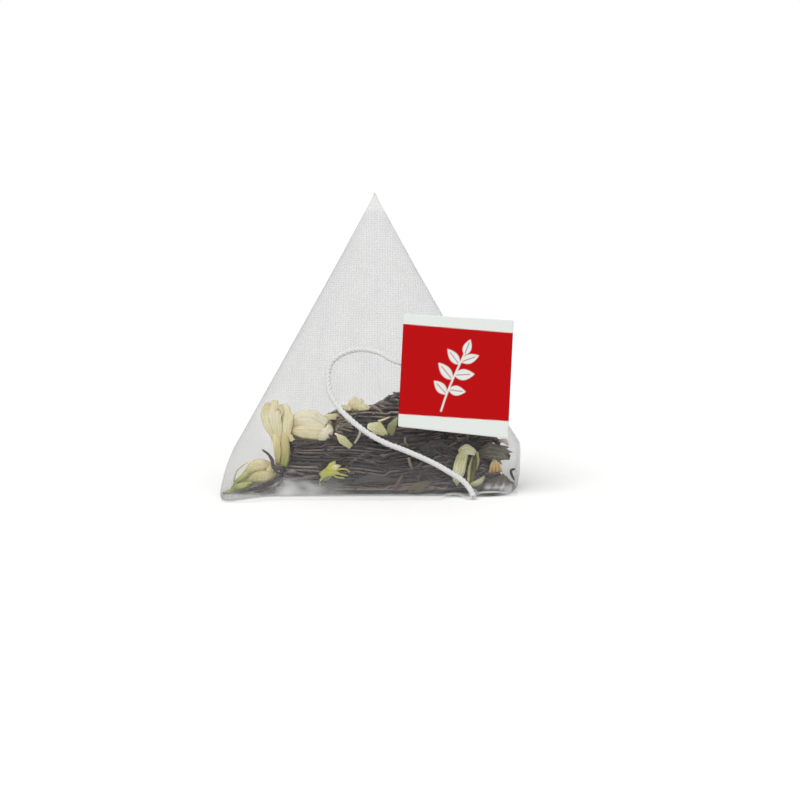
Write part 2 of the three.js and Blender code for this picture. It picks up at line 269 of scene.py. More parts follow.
def tube(path, across, through, radius, sides):
    """Rings of points round a path, with a radius at each point."""
    angle = 2 * math.pi * np.arange(sides) / sides
    cosine, sine = np.cos(angle)[None, :, None], np.sin(angle)[None, :, None]
    ring = cosine * across[:, None, :] + sine * through[:, None, :]
    return path[:, None, :] + np.asarray(radius)[:, None, None] * ring


def length_so_far(path):
    """How much of a path lies before each of its points."""
    return np.concatenate(((0,), np.cumsum(np.linalg.norm(np.diff(path, axis=0), axis=1))))


def ramp(values, start, over):
    """From 0 at start to 1 at start + over, with a straight slope; over may be negative."""
    return np.clip((values - start) / over, 0, 1)


def bell(values, width):
    return np.exp(-((values / width) ** 2))


def noise_at(points, scale, at=(0.0, 0.0, 0.0)):
    """Smooth noise from -1 to 1 at each point."""
    return np.array([noise.noise(Vector(p) * scale + Vector(at)) for p in points])


def waves(values, seed, scale):
    """Smooth noise from -1 to 1 along a list of values."""
    return np.array([noise.noise(Vector((v * scale, seed * 7.31, 1.7))) for v in values])


def lerp_list(values, share):
    """Numbers or colours read off an evenly spaced list."""
    values = np.asarray(values, float)
    place = np.linspace(0, 1, len(values))
    if values.ndim == 1:
        return np.interp(share, place, values)
    return np.stack([np.interp(share, place, values[:, k]) for k in range(values.shape[1])], axis=-1)


# ---------------------------------------------------------------- materials
LOOKS = {}  # each new material by the name of its slot


def new_nodes(name):
    """The empty node tree of a new material."""
    material = bpy.data.materials.new(name)
    LOOKS[name] = material
    material.use_nodes = True
    nodes = material.node_tree.nodes
    nodes.clear()
    return nodes


def add(nodes, kind, **values):
    """A shader node; in_NAME or in_NUMBER sets an input socket, or links it to another node's output."""
    node = nodes.new(kind)
    for key, value in values.items():
        if not key.startswith("in_"):
            setattr(node, key, value)
            continue
        name = key[3:]
        socket = node.inputs[int(name) if name.isdigit() else name.replace("_", " ")]
        if isinstance(value, bpy.types.NodeSocket):
            node.id_data.links.new(value, socket)
        else:
            socket.default_value = value
    return node


def sums(nodes, operation, a, b):
    return add(nodes, "ShaderNodeMath", operation=operation, in_0=a, in_1=b).outputs[0]


def plant(name, rough, mottle, grain, bump, glow=0.0, shine=0.3):
    """Dried leaf or petal: the mesh's own tint, mottled, with some light coming through."""
    nodes = new_nodes(name)
    tint = add(nodes, "ShaderNodeVertexColor", layer_name="tint")
    place = add(nodes, "ShaderNodeTexCoord").outputs["Object"]
    texture = add(
        nodes, "ShaderNodeTexNoise", in_Vector=place, in_Scale=grain, in_Detail=3.0, in_Roughness=0.6
    ).outputs["Fac"]
    level = add(nodes, "ShaderNodeMapRange", in_Value=texture, in_To_Min=1 - mottle, in_To_Max=1 + mottle)
    colour = add(
        nodes,
        "ShaderNodeVectorMath",
        operation="SCALE",
        in_0=tint.outputs["Color"],
        in_Scale=level.outputs["Result"],
    )
    shape = add(nodes, "ShaderNodeBump", in_Strength=bump, in_Distance=0.0002, in_Height=texture)
    surface = add(
        nodes,
        "ShaderNodeBsdfPrincipled",
        in_Roughness=rough,
        in_Specular_IOR_Level=shine,
        in_Base_Color=colour.outputs["Vector"],
        in_Normal=shape.outputs["Normal"],
    )
    if glow:
        through = add(nodes, "ShaderNodeBsdfTranslucent", in_Color=colour.outputs["Vector"])
        solid = surface.outputs[0]
        surface = add(nodes, "ShaderNodeMixShader", in_0=glow, in_1=solid, in_2=through.outputs[0])
    add(nodes, "ShaderNodeOutputMaterial", in_Surface=surface.outputs[0])


def nylon(name):
    """Fine woven nylon: threads cover part of each small square and light passes between them.

    The mesh's tint holds how much denser the cloth is (red) and how much whiter (green).
    """
    nodes = new_nodes(name)
    cloth = add(nodes, "ShaderNodeUVMap", uv_map="cloth")
    split = add(nodes, "ShaderNodeSeparateXYZ", in_0=cloth.outputs["UV"])
    threads = []
    for axis, pitch in (("X", 0.46), ("Y", 0.43)):
        turn = sums(nodes, "MULTIPLY", split.outputs[axis], math.pi / pitch)
        wave = add(nodes, "ShaderNodeMath", operation="COSINE", in_0=turn).outputs[0]
        threads.append(sums(nodes, "MULTIPLY", wave, wave))
    weave = sums(nodes, "MAXIMUM", *threads)
    place = add(nodes, "ShaderNodeTexCoord").outputs["Object"]
    cloud = add(
        nodes, "ShaderNodeTexNoise", in_Vector=place, in_Scale=190.0, in_Detail=4.0, in_Roughness=0.55
    )
    thick = add(nodes, "ShaderNodeVertexColor", layer_name="tint")
    layers = add(nodes, "ShaderNodeSeparateColor", in_0=thick.outputs["Color"])
    edge = add(nodes, "ShaderNodeLayerWeight", in_Blend=0.25)
    glance = sums(nodes, "MULTIPLY", edge.outputs["Facing"], 0.1)
    glance = sums(nodes, "MULTIPLY", glance, edge.outputs["Facing"])
    cover = sums(nodes, "MULTIPLY", weave, 0.07)
    cover = sums(nodes, "ADD", cover, 0.032)
    cover = sums(nodes, "ADD", cover, sums(nodes, "MULTIPLY", cloud.outputs["Fac"], 0.05))
    cover = sums(nodes, "ADD", cover, layers.outputs[0])
    cover = sums(nodes, "ADD", cover, glance)
    cover = sums(nodes, "MINIMUM", cover, 0.9)
    white = add(
        nodes,
        "ShaderNodeMix",
        data_type="RGBA",
        in_0=layers.outputs[1],
        in_6=(0.27, 0.262, 0.272, 1),
        in_7=(0.8, 0.81, 0.8, 1),
    ).outputs[2]
    front = add(nodes, "ShaderNodeBsdfDiffuse", in_Color=white)
    back = add(nodes, "ShaderNodeBsdfTranslucent", in_Color=white)
    both = add(nodes, "ShaderNodeMixShader", in_0=0.4, in_1=front.outputs[0], in_2=back.outputs[0])
    clear = add(nodes, "ShaderNodeBsdfTransparent")
    veil = add(nodes, "ShaderNodeMixShader", in_0=cover, in_1=clear.outputs[0], in_2=both.outputs[0])
    add(nodes, "ShaderNodeOutputMaterial", in_Surface=veil.outputs[0])


nylon("nylon_mesh")
for slot, rough, glow, mottle, grain, bump in (
    ("cotton_string", 0.95, 0.15, 0.08, 4000.0, 0.3),
    ("black_tea", 0.55, 0.0, 0.6, 2500.0, 0.6),
    ("cream_petal", 0.6, 0.22, 0.14, 1200.0, 0.35),
    ("green_petal", 0.6, 0.06, 0.2, 1100.0, 0.3),
    ("green_calyx", 0.6, 0.1, 0.3, 1400.0, 0.3),
    ("orange_petal", 0.6, 0.1, 0.3, 1200.0, 0.4),
    ("brown_leaf", 0.55, 0.08, 0.5, 1800.0, 0.6),
    ("pale_stalk", 0.7, 0.1, 0.35, 2000.0, 0.4),
):
    plant(slot, rough, mottle, grain, bump, glow)
plant("tag_card", 0.6, 0.03, 6000.0, 0.03, shine=0.03)


# ---------------------------------------------------------------- the mesh bag
def triangle_patch(corners, steps):
    """Points of a triangle's grid as shares of its corners, and its faces."""
    shares, index = [], {}
    for i in range(steps + 1):
        for j in range(steps + 1 - i):
            index[i, j] = len(shares)
            shares.append((1 - (i + j) / steps, j / steps, i / steps))
    faces = []
    for i in range(steps):
        for j in range(steps - i):
            faces.append((index[i, j], index[i, j + 1], index[i + 1, j]))
            if i + j < steps - 1:
                faces.append((index[i, j + 1], index[i + 1, j + 1], index[i + 1, j]))
    return np.array(shares), faces


def cloth_place(shares, kind):
    """The flat cloth's coordinates, in mm, of points given as shares of left, right, back, apex."""
    left, right, back, top = shares
    down, up = left + right, back + top
    if kind in ("front", "base"):
        along = up
        part = right / down if down > 1e-9 else 0.5
        part = part if kind == "front" else 1 - part
        across = TUBE / 2 * along + part * TUBE * (1 - along)
        return (across if kind == "front" else across + TUBE, along * GAP)
    part = back / up if up > 1e-9 else 0.5
    across = TUBE - TUBE / 2 * up + part * TUBE * up
    return (across if kind == "right" else 2 * TUBE - across, up * GAP)


def tetra_sheet(steps):
    """The cloth's points and faces on the sharp pyramid, each point as shares of its four corners."""
    sides = {"front": (0, 1, 3), "right": (1, 2, 3), "left": (2, 0, 3), "base": (1, 0, 2)}
    index, points, faces, cloth = {}, [], [], []
    for kind, corner in sides.items():
        shares, patch = triangle_patch(corner, steps)
        ids, spots = [], []
        for s in shares:
            full = [0.0] * 4
            for k, c in enumerate(corner):
                full[c] = s[k]
            key = tuple(round(x * steps) for x in full)
            if key not in index:
                index[key] = len(points)
                points.append(full)
            ids.append(index[key])
            spots.append(cloth_place(full, kind))
        for face in patch:
            faces.append(tuple(ids[k] for k in face))
            cloth.append(tuple(spots[k] for k in face))
    return np.array(points), faces, cloth


def settle(shares, steps):
    """Points of the filled bag, from shares of the sharp pyramid's corners."""
    height = shares[:, 3] * APEX
    left = 1 - shares[:, 3]
    flat = np.zeros((len(shares), 2))
    flat[:, 0] = (shares[:, 1] - shares[:, 0]) * TUBE / 2 + shares[:, 3] * LEAN
    flat[:, 1] = (shares[:, 0] + shares[:, 1]) * FRONT_Y + shares[:, 2] * BACK_Y
    out = np.zeros((len(shares), 3))
    for row in range(steps + 1):
        rows = np.where(np.abs(shares[:, 3] * steps - row) < 0.01)[0]
        level = APEX * row / steps
        if row == steps:
            out[rows] = (LEAN, 0.0, APEX + TIP_RISE)
            continue
        centre = centre_at(level)
        away = flat[rows] - centre
        far = np.linalg.norm(away, axis=1)
        angle = np.arctan2(away[:, 1], away[:, 0])
        reach = reach_at(level, angle)
        sharp = sharp_reach(level, angle)
        share = np.where(far > 1e-6, np.minimum(far / sharp, 1), 0)
        flare = 0.32 * max(0.0, level / APEX - 0.75) / 0.25
        place = (reach + flare) * share - (0.25 if row == 0 else 0.0) * (share > 0.999)
        direction = np.stack((np.cos(angle), np.sin(angle)), axis=1)
        out[rows, :2] = centre + direction * place[:, None]
        out[rows, 2] = level
    return out


def sharp_reach(level, angles):
    """How far the sharp triangle is from the centre line in each direction."""
    corner = corners_at(level) - centre_at(level)
    ray = np.stack((np.cos(angles), np.sin(angles)), axis=1)
    best = np.full(len(angles), 1e9)
    for i in range(3):
        a, b = corner[i], corner[(i + 1) % 3]
        side = b - a
        bottom = ray[:, 0] * side[1] - ray[:, 1] * side[0]
        hit = (a[0] * side[1] - a[1] * side[0]) / np.where(np.abs(bottom) < 1e-12, 1e-12, bottom)
        best = np.where((hit > 0) & (hit < best), hit, best)
    return best


def edge_distance(shares, a, b):
    """Distance in mm from points to the pyramid's edge between corners a and b."""
    corners = np.array(((-30, FRONT_Y, 0), (30, FRONT_Y, 0), (0, BACK_Y, 0), (LEAN, 0, APEX)))
    p = shares @ corners
    start, end = corners[a], corners[b]
    along = (end - start) / np.linalg.norm(end - start)
    rest = p - start
    return np.linalg.norm(rest - np.outer(rest @ along, along), axis=1)


def slack(points, normal, calm):
    """How far the filled cloth stands in or out: broad slackness, most near the floor."""
    broad = 0.30 * noise_at(points, 0.11) + 0.10 * noise_at(points, 0.33, (9, 2, 5))
    return normal * (broad * calm * (0.35 + bell(points[:, 2], 16)))[:, None]


# Soft creases that run out of the two front corners: the corner's x, then each crease's angle and depth.
CREASES = ((-27.5, ((0.32, 0.28), (0.62, 0.2))), (24.0, ((0.35, 0.25), (0.75, 0.3), (1.05, 0.2))))


def creased(points, normal):
    """The cloth's points with the front corners' creases raised on them."""
    for corner_x, lines in CREASES:
        rest = points - np.array((corner_x, FRONT_Y + 1.5, 0))
        across = np.abs(rest[:, 0])
        angle = np.arctan2(rest[:, 2], across + 1e-6)
        far = np.hypot(across, rest[:, 2])
        front = (normal[:, 1] < -0.5) & (points[:, 2] > 0.4)
        for middle, depth in lines:
            crease = bell((angle - middle) * far, 0.55) * np.exp(-far / 7) * np.clip(far / 2, 0, 1)
            points = points + normal * (depth * crease * front)[:, None]
    points[:, 2] = np.maximum(points[:, 2], FLOOR_GAP)
    return points


def cloth_tint(points, normal, fold, seal_back, seal_front):
    """How much denser and how much whiter the cloth is at each point."""
    u, v = points[:, 0], points[:, 2]
    front = normal[:, 1] < -0.5
    dense = np.clip((APEX - v) / 12, 0.25, 1) * (0.06 * bell(fold, 0.45) + 0.028 * bell(fold, 1.7))
    dense = dense + 0.01 * bell(seal_back, 0.7) + 0.10 * bell(seal_front, 0.5)
    # the empty strip of cloth at the lower left
    uneven = np.array([noise.noise(Vector((a, b, 4.0))) for a, b in zip(u * 0.35, v * 0.8)])
    flap = ramp(u, -18.2, 2.2) * ramp(u, -4.5, -11) * np.clip((3.2 + 0.9 * uneven - v) / 1.6, 0, 1)
    dense += 0.44 * flap * (1 + 0.5 * uneven) * front
    # pale streaks at the right, and the clear cloth under them
    streaks = np.array(
        [noise.noise(Vector((1.5 * a - 0.9 * b, 0.10 * a + 0.25 * b, 3))) for a, b in zip(u, v)]
    )
    patch = ramp(u, 17.2, 1.5) * ramp(u, 24.5, -2) * ramp(v, 3.4, -1.4)
    dense += 1.1 * np.clip(streaks - 0.05, 0, 1) * patch * front
    dense += 0.4 * ramp(u, 18.6, 2.5) * ramp(v, 2.3, -1.2) * front
    dense += 0.05 * ramp(v, 6.5, -4) * front
    dense *= 1 - 0.9 * lifted(u) * (v < 1.1)
    white = np.clip(dense * 3.0, 0, 1) * np.where(fold < 2.5, 0.2, 1)
    white = np.maximum(white, 0.35 * ramp(v, APEX - 3.4, 0.5))
    return np.stack((dense, white, np.zeros(len(points))), axis=1)


def mesh_bag():
    shares, faces, cloth = tetra_sheet(BAG_STEPS)
    points = settle(shares, BAG_STEPS)
    face_index = np.array(faces)
    normal = np.zeros_like(points)
    a, b, c = (points[face_index[:, k]] for k in range(3))
    area = np.cross(b - a, c - a)
    for k in range(3):
        np.add.at(normal, face_index[:, k], area)
    normal /= np.linalg.norm(normal, axis=1)[:, None] + 1e-12
    fold = np.min([edge_distance(shares, *ends) for ends in ((0, 3), (1, 3), (0, 2), (1, 2))], axis=0)
    seal_back = edge_distance(shares, 2, 3)
    seal_front = edge_distance(shares, 0, 1)
    calm = np.clip(np.minimum(fold, np.minimum(seal_back, seal_front)) / 4, 0, 1)
    points = creased(points + slack(points, normal, calm), normal)
    tint = cloth_tint(points, normal, fold, seal_back, seal_front)
    inner = points - normal * WALL
    inner[:, 2] = np.maximum(inner[:, 2], FLOOR_GAP + WALL)
    all_points = np.concatenate((points, inner))
    all_faces = [tuple(f) for f in faces] + [tuple(i + len(points) for i in f[::-1]) for f in faces]
    all_cloth = list(cloth) + [f[::-1] for f in cloth]
    tints = np.concatenate((tint, tint))
    # the welded strips past each seal
    extra_points, extra_tints = [], []
    for rows, cover in (front_hem_rows(), back_hem_rows()):
        skin = Skin()
        skin.rings(rows, (1, 1, 1))
        base = len(all_points) + len(extra_points)
        extra_points += skin.points
        extra_tints += cover.tolist() + [(0, 1, 0)] * (len(skin.points) - len(cover))
        for face in skin.faces:
            all_faces.append(tuple(i + base for i in face))
            corners = [skin.points[i] for i in face]
            all_cloth.append(tuple((x - y, z + y) for x, y, z in corners))
    all_points = np.concatenate((all_points, extra_points))
    tints = np.concatenate((tints, extra_tints))
    bag = mesh_object("mesh_bag_cloth", all_points, all_faces, ["mesh_bag"], "nylon_mesh", tints)
    layer = bag.data.uv_layers.new(name="cloth")
    spots = [spot for face in all_cloth for spot in face]
    layer.data.foreach_set("uv", np.array(spots, np.float32).ravel())
    return bag


def hump(x, middle, half):
    """A smooth flat-topped hump of height 1."""
    return np.exp(-(((x - middle) / half) ** 4))


def lifted(x):
    """How far the front seal stands off the floor at the right of the string, and less at its left."""
    return hump(x, 20.0, 2.7) + 0.5 * hump(x, 13.8, 1.9)


def front_hem_rows():
    """The strip along the front seal, lying forward on the floor, lifted a little at the right and
    closed over the end of the string."""
    seam = outline(0.3, arc_steps=24, side_steps=120)
    count = len(seam)
    start = int(np.argmin(seam[:, 0] + 0.3 * seam[:, 1]))
    seam = np.roll(seam, -start, axis=0)
    end = int(np.argmax(seam[: count // 2, 0] - 0.3 * seam[: count // 2, 1]))
    seam = seam[: end + 1]
    gone = length_so_far(seam)
    spot = np.linspace(0.4, gone[-1] - 0.4, 190)
    edge = np.stack((np.interp(spot, gone, seam[:, 0]), np.interp(spot, gone, seam[:, 1])), axis=1)
    along = np.gradient(edge, axis=0)
    along /= np.linalg.norm(along, axis=1)[:, None]
    out = np.stack((along[:, 1], -along[:, 0]), axis=1)
    ends = np.clip(np.minimum(spot - spot[0], spot[-1] - spot) / 5, 0.03, 1)
    depth = (HEM + 0.15 * waves(spot, 3, 0.4)) * ends
    x = edge[:, 0]
    lift = lifted(x)
    depth = depth * (1 - 0.85 * np.minimum(1.6 * lift, 1))
    pocket = hump(x, 17.0, 0.75)  # closes over the string's end
    rows = []
    for i, (ex, ey) in enumerate(edge):
        inner = (ex - out[i, 0] * 0.45, ey - out[i, 1] * 0.45)
        outer = (ex + out[i, 0] * depth[i], ey + out[i, 1] * depth[i])
        tip = 0.12 + 0.06 * noise.noise(Vector((spot[i] * 0.3, 5.0, 1.7))) + 0.72 * lift[i]
        seat = 0.14 + 0.62 * lift[i]
        rows.append(
            (
                (*inner, seat - 0.08),
                (*outer, max(tip - 0.07, 0.03)),
                (*outer, tip + 0.09 + 0.95 * pocket[i]),
                (*inner, seat + 0.2 + 0.9 * pocket[i]),
            )
        )
    cover = np.zeros((len(rows), 4, 3))
    cover[:, :, 0] = 0.5 * lift[:, None]
    cover[:, :, 1] = 1
    return np.array(rows), cover.reshape(-1, 3)


def back_hem_rows():
    """The strip up the back seal, standing out from the back edge."""
    count = 110
    share = np.linspace(0.012, 0.965, count)
    base = np.stack((LEAN * share, BACK_Y * (1 - share), APEX * share), axis=1)
    out = np.array((0.0, APEX, BACK_Y)) / math.hypot(APEX, BACK_Y)
    depth = HEM * np.clip((1.0 - share) / 0.05, 0.1, 1) + 0.1 * waves(share * 58, 9, 0.4)
    sway = 0.35 * waves(share * 58, 13, 0.12)
    rows = []
    for i in range(count):
        inner = base[i] - out * 0.5
        outer = base[i] + out * depth[i]
        outer[2] = max(outer[2], 0.1)
        side = np.array((0.11, 0, 0))
        shift = np.array((sway[i], 0, 0))
        rows.append((inner - side, inner + side, outer + side + shift, outer - side + shift))
    return np.array(rows), np.broadcast_to((-0.1, 1.0, 0.0), (4 * count, 3))


bag = mesh_bag()

# ---------------------------------------------------------------- the string
STRING_ROUTE = (
    (17.0, -29.8, 0.62), (16.9, -28.5, 0.9), (16.3, -27.5, 1.75), (15.1, -26.7, 2.9),
    (12.8, -26.2, 4.3), (9.8, -25.6, 5.9), (5.3, -25.0, 7.8), (1.7, -24.4, 9.1),
    (-1.3, -23.6, 10.6), (-4.3, -22.4, 12.7), (-6.6, -21.1, 14.8), (-8.3, -19.6, 17.4),
    (-8.7, -17.9, 20.2), (-8.0, -16.8, 22.4), (-6.0, -16.0, 23.8), (-3.2, -16.2, 24.6),
    (0.2, -17.8, 24.4), (3.0, -19.8, 23.2), (5.6, -21.0, 22.6), (8.4, -21.8, 22.3),
    (11.4, -22.6, 22.1), (14.6, -23.5, 21.9),
)
PLIES = 3
PLY_LAY = 2.4  # length of one full turn of a ply
PLY_RADIUS, PLY_OFFSET = 0.33, 0.19
HAIRS = 90
HAIR_RADIUS = 0.018


def string():
    """Three plies twisted together, with fine loose hairs."""
    route = curve(STRING_ROUTE, 430)
    across, through = carried_frames(route)
    gone = length_so_far(route)
    skin = Skin()
    for ply in range(PLIES):
        phase = 2 * math.pi * (ply / PLIES + gone / PLY_LAY)
        middle = route + PLY_OFFSET * (np.cos(phase)[:, None] * across + np.sin(phase)[:, None] * through)
        size = PLY_RADIUS * (1 + 0.07 * waves(gone, ply + 20, 1.3))
        shade = 0.74 + 0.04 * waves(gone, ply + 30, 2.0)
        tint = np.stack((shade, shade * 1.005, shade * 0.985), axis=1)
        skin.rings(tube(middle, across, through, size, 8), tint[:, None, :])
    for _ in range(HAIRS):
        i = dice.randrange(10, len(route) - 60)
        turn = dice.uniform(0, 2 * math.pi)
        away = math.cos(turn) * across[i] + math.sin(turn) * through[i]
        along = route[i + 4] - route[i]
        along /= np.linalg.norm(along)
        start = route[i] + away * 0.45
        bend = away * dice.uniform(0.1, 0.35) + along * dice.uniform(0.2, 0.7)
        hair = curve((start, start + bend * 0.5 + away * 0.05, start + bend), 5)
        skin.rings(tube(hair, *carried_frames(hair), [HAIR_RADIUS] * 5, 3), (0.86, 0.86, 0.84))
    piece = skin.object("string_cotton", ["string"], "cotton_string")


string()

# ---------------------------------------------------------------- the tag
TAG_WIDE, TAG_THICK, TAG_HIGH = 19.8, 0.4, 20.2
TAG_PLACE = np.array((13.8, -24.6, 21.4))
TAG_PITCH, TAG_ROLL, TAG_YAW = -8.0, 1.3, -15.0
TAG_STEPS = 160, 164
INK_EDGE = 0.11  # how softly the sprig's edge fades
INK_RED = np.array((0.42, 0.004, 0.005))
PAPER = np.array((0.655, 0.69, 0.66))
SPRIG_LEAVES = (  # foot, tip and half width, in mm on the tag's face
    ((-1.6, -3.2), (-4.0, -1.0), 0.85),
    ((-1.3, -2.4), (1.8, -2.6), 0.85),
    ((-0.7, -0.6), (-3.4, 2.2), 0.9),
    ((-0.4, 0.2), (3.2, 0.6), 0.95),
    ((0.4, 2.1), (-1.9, 4.7), 0.8),
    ((0.7, 2.6), (3.8, 3.9), 0.8),
    ((1.2, 3.8), (2.1, 6.6), 0.75),
)
SPRIG_STEM = ((-2.4, -6.2), (-1.7, -3.6), (-0.8, -1.0), (0.3, 1.8), (1.2, 4.0))


def sprig(x, z):
    """How much of the white leaf sprig covers each point of the tag's face."""
    cover = np.zeros_like(x)

    def blend(distance):
        return np.clip(0.5 - distance / INK_EDGE, 0, 1)

    for (fx, fz), (tx, tz), half in SPRIG_LEAVES:
        length = math.hypot(tx - fx, tz - fz)
        ax, az = (tx - fx) / length, (tz - fz) / length
        s = ((x - fx) * ax + (z - fz) * az) / length
        side = (x - fx) * -az + (z - fz) * ax
        inside = np.clip(s, 0, 1)
        wide = half * np.sin(math.pi * inside**0.85) ** 0.9
        body = blend(np.abs(side) - wide) * (s > 0) * (s < 1)
        rib = blend(np.abs(side) - 0.07) * (s > 0.08) * (s < 0.8)
        cover = np.maximum(cover, body * (1 - rib))
    stem = curve([(a, 0, b) for a, b in SPRIG_STEM], 40)
    for p, q in zip(stem[:-1], stem[1:]):
        dx, dz = q[0] - p[0], q[2] - p[2]
        t = np.clip(((x - p[0]) * dx + (z - p[2]) * dz) / (dx * dx + dz * dz), 0, 1)
        near = np.hypot(x - p[0] - t * dx, z - p[2] - t * dz)
        cover = np.maximum(cover, blend(near - 0.16))
    return cover


def turned(degrees, axis):
    """The rotation matrix about the axis numbered 0, 1 or 2 for x, y or z."""
    turn = np.eye(3)
    a, b = (axis + 1) % 3, (axis + 2) % 3
    turn[a, a] = turn[b, b] = math.cos(math.radians(degrees))
    turn[b, a] = math.sin(math.radians(degrees))
    turn[a, b] = -turn[b, a]
    return turn


def tag():
    """The card, barely curled, with its printed bands and sprig as tints."""
    across, up = TAG_STEPS
    rx, rz = TAG_WIDE / 2, TAG_HIGH / 2
    gx, gz = np.meshgrid(np.linspace(-rx, rx, across), np.linspace(-rz, rz, up), indexing="ij")
    worn = 0.35  # radius of the corners
    ox, oz = np.maximum(np.abs(gx) - (rx - worn), 0), np.maximum(np.abs(gz) - (rz - worn), 0)
    out = np.hypot(ox, oz)
    pull = np.where(out > worn, worn / np.maximum(out, 1e-9), 1)
    x = np.sign(gx) * (np.minimum(np.abs(gx), rx - worn) + ox * pull)
    z = np.sign(gz) * (np.minimum(np.abs(gz), rz - worn) + oz * pull)
    edge = np.clip((np.minimum(rx - np.abs(x), rz - np.abs(z))) / 0.15, 0, 1)
    low = (1 - z / rz) / 2
    z = z - low * (0.07 + 0.34 * x / rx)
    x = x + 0.2 * low
    curl = 0.22 * (x / rx) ** 2 - 0.12 * (z / rz) * (x / rx)
    round_off = 0.05 * (1 - edge) ** 2
    front = np.stack((x, -TAG_THICK / 2 + round_off + curl - 0.1, z), axis=-1)
    back = np.stack((x, TAG_THICK / 2 - round_off + curl - 0.1, z), axis=-1)
    share = (x / rx + 1) / 2
    top = rz - (1.77 + 0.45 * share)
    bottom = -rz + 2.5 + 0.1 * share
    red = np.clip(0.5 + (top - z) / 0.1, 0, 1) * np.clip(0.5 + (z - bottom) / 0.1, 0, 1)
    red = red * (1 - sprig(x - 0.4, z + 0.3))
    tint = PAPER + red[..., None] * (INK_RED - PAPER)
    points = np.concatenate((front.reshape(-1, 3), back.reshape(-1, 3)))
    tints = np.concatenate((tint.reshape(-1, 3), np.broadcast_to(PAPER, (across * up, 3))))
    number = np.arange(across * up).reshape(across, up)
    rear = number + across * up
    faces = []
    for i in range(across - 1):
        for j in range(up - 1):
            a, b, c, d = number[i, j], number[i + 1, j], number[i + 1, j + 1], number[i, j + 1]
            faces.append((a, b, c, d))
            faces.append((rear[i, j], rear[i, j + 1], rear[i + 1, j + 1], rear[i + 1, j]))
    rim = [(i, 0) for i in range(across)] + [(across - 1, j) for j in range(1, up)]
    rim += [(i, up - 1) for i in range(across - 2, -1, -1)] + [(0, j) for j in range(up - 2, 0, -1)]
    for p, q in zip(rim, rim[1:] + rim[:1]):
        faces.append((number[p], rear[p], rear[q], number[q]))
    lean = turned(TAG_YAW, 2) @ turned(TAG_PITCH, 0) @ turned(TAG_ROLL, 1)
    faces = [tuple(int(k) for k in face) for face in faces]
    mesh_object("tag_card", points @ lean.T + TAG_PLACE, faces, ["tag"], "tag_card", tints)


tag()


# ---------------------------------------------------------------- the tea
TEA_SHADES = (
    (0.040, 0.030, 0.027), (0.062, 0.047, 0.041), (0.095, 0.073, 0.062),
    (0.150, 0.118, 0.098), (0.200, 0.158, 0.128), (0.026, 0.021, 0.020),
)
FIBRES = ((0.42, 0.35, 0.25), (0.30, 0.24, 0.17), (0.20, 0.16, 0.12))
# What lies against the front panel, which the tea stays behind: u, v, half sizes and depth.
CLEARINGS = (
    (-11.6, 14.0, 4.9, 3.7, 6.9), (-18.2, 15.2, 3.4, 4.4, 6.6), (-17.1, 8.6, 2.1, 3.8, 4.9),
    (-20.8, 5.2, 3.6, 2.9, 6.0), (-24.5, 2.5, 2.6, 2.2, 5.0), (-20.8, 2.2, 3.6, 1.2, 2.3),
    (-3.2, 17.6, 2.6, 1.7, 3.3), (-7.2, 16.2, 3.5, 1.1, 3.5), (-5.9, 10.5, 1.9, 1.9, 2.0),
    (0.1, 12.8, 2.2, 1.7, 2.0), (2.8, 13.7, 1.4, 2.0, 2.3), (-3.3, 11.3, 0.8, 1.5, 2.0),
    (-7.4, 4.6, 3.1, 2.5, 2.4), (5.4, 10.3, 0.7, 1.1, 1.9), (6.1, 6.2, 0.8, 1.4, 1.9),
    (3.9, 2.7, 1.1, 1.8, 2.1), (7.6, 2.1, 2.5, 1.3, 2.1), (14.9, 6.2, 2.0, 4.4, 2.9),
    (16.0, 9.6, 2.0, 1.4, 2.5), (17.7, 3.2, 1.7, 1.4, 2.7), (17.2, 5.6, 1.4, 3.2, 2.7),
    (20.7, 6.2, 1.8, 1.6, 3.1), (20.6, 8.6, 3.5, 2.0, 3.7), (21.6, 2.8, 2.5, 1.6, 3.5),
    (22.3, 10.6, 1.1, 0.9, 3.1), (22.8, 5.8, 1.2, 1.7, 3.5), (-0.6, 3.4, 3.5, 0.8, 2.2),
    (10.4, 9.8, 2.5, 0.8, 2.0),
)


def clear(points):
    """The same points, pushed back from the flowers and leaves against the front panel."""
    rest = points - FOOT
    u, v, depth = rest @ ACROSS, rest @ UP, -(rest @ OUT)
    for cu, cv, ru, rv, deep in CLEARINGS:
        inside = np.clip(3.5 * (1 - np.hypot((u - cu) / ru, (v - cv) / rv)), 0, 1)
        depth = depth + np.maximum(deep - depth, 0) * inside
    return on_panel(np.stack((u, v, depth), axis=1))


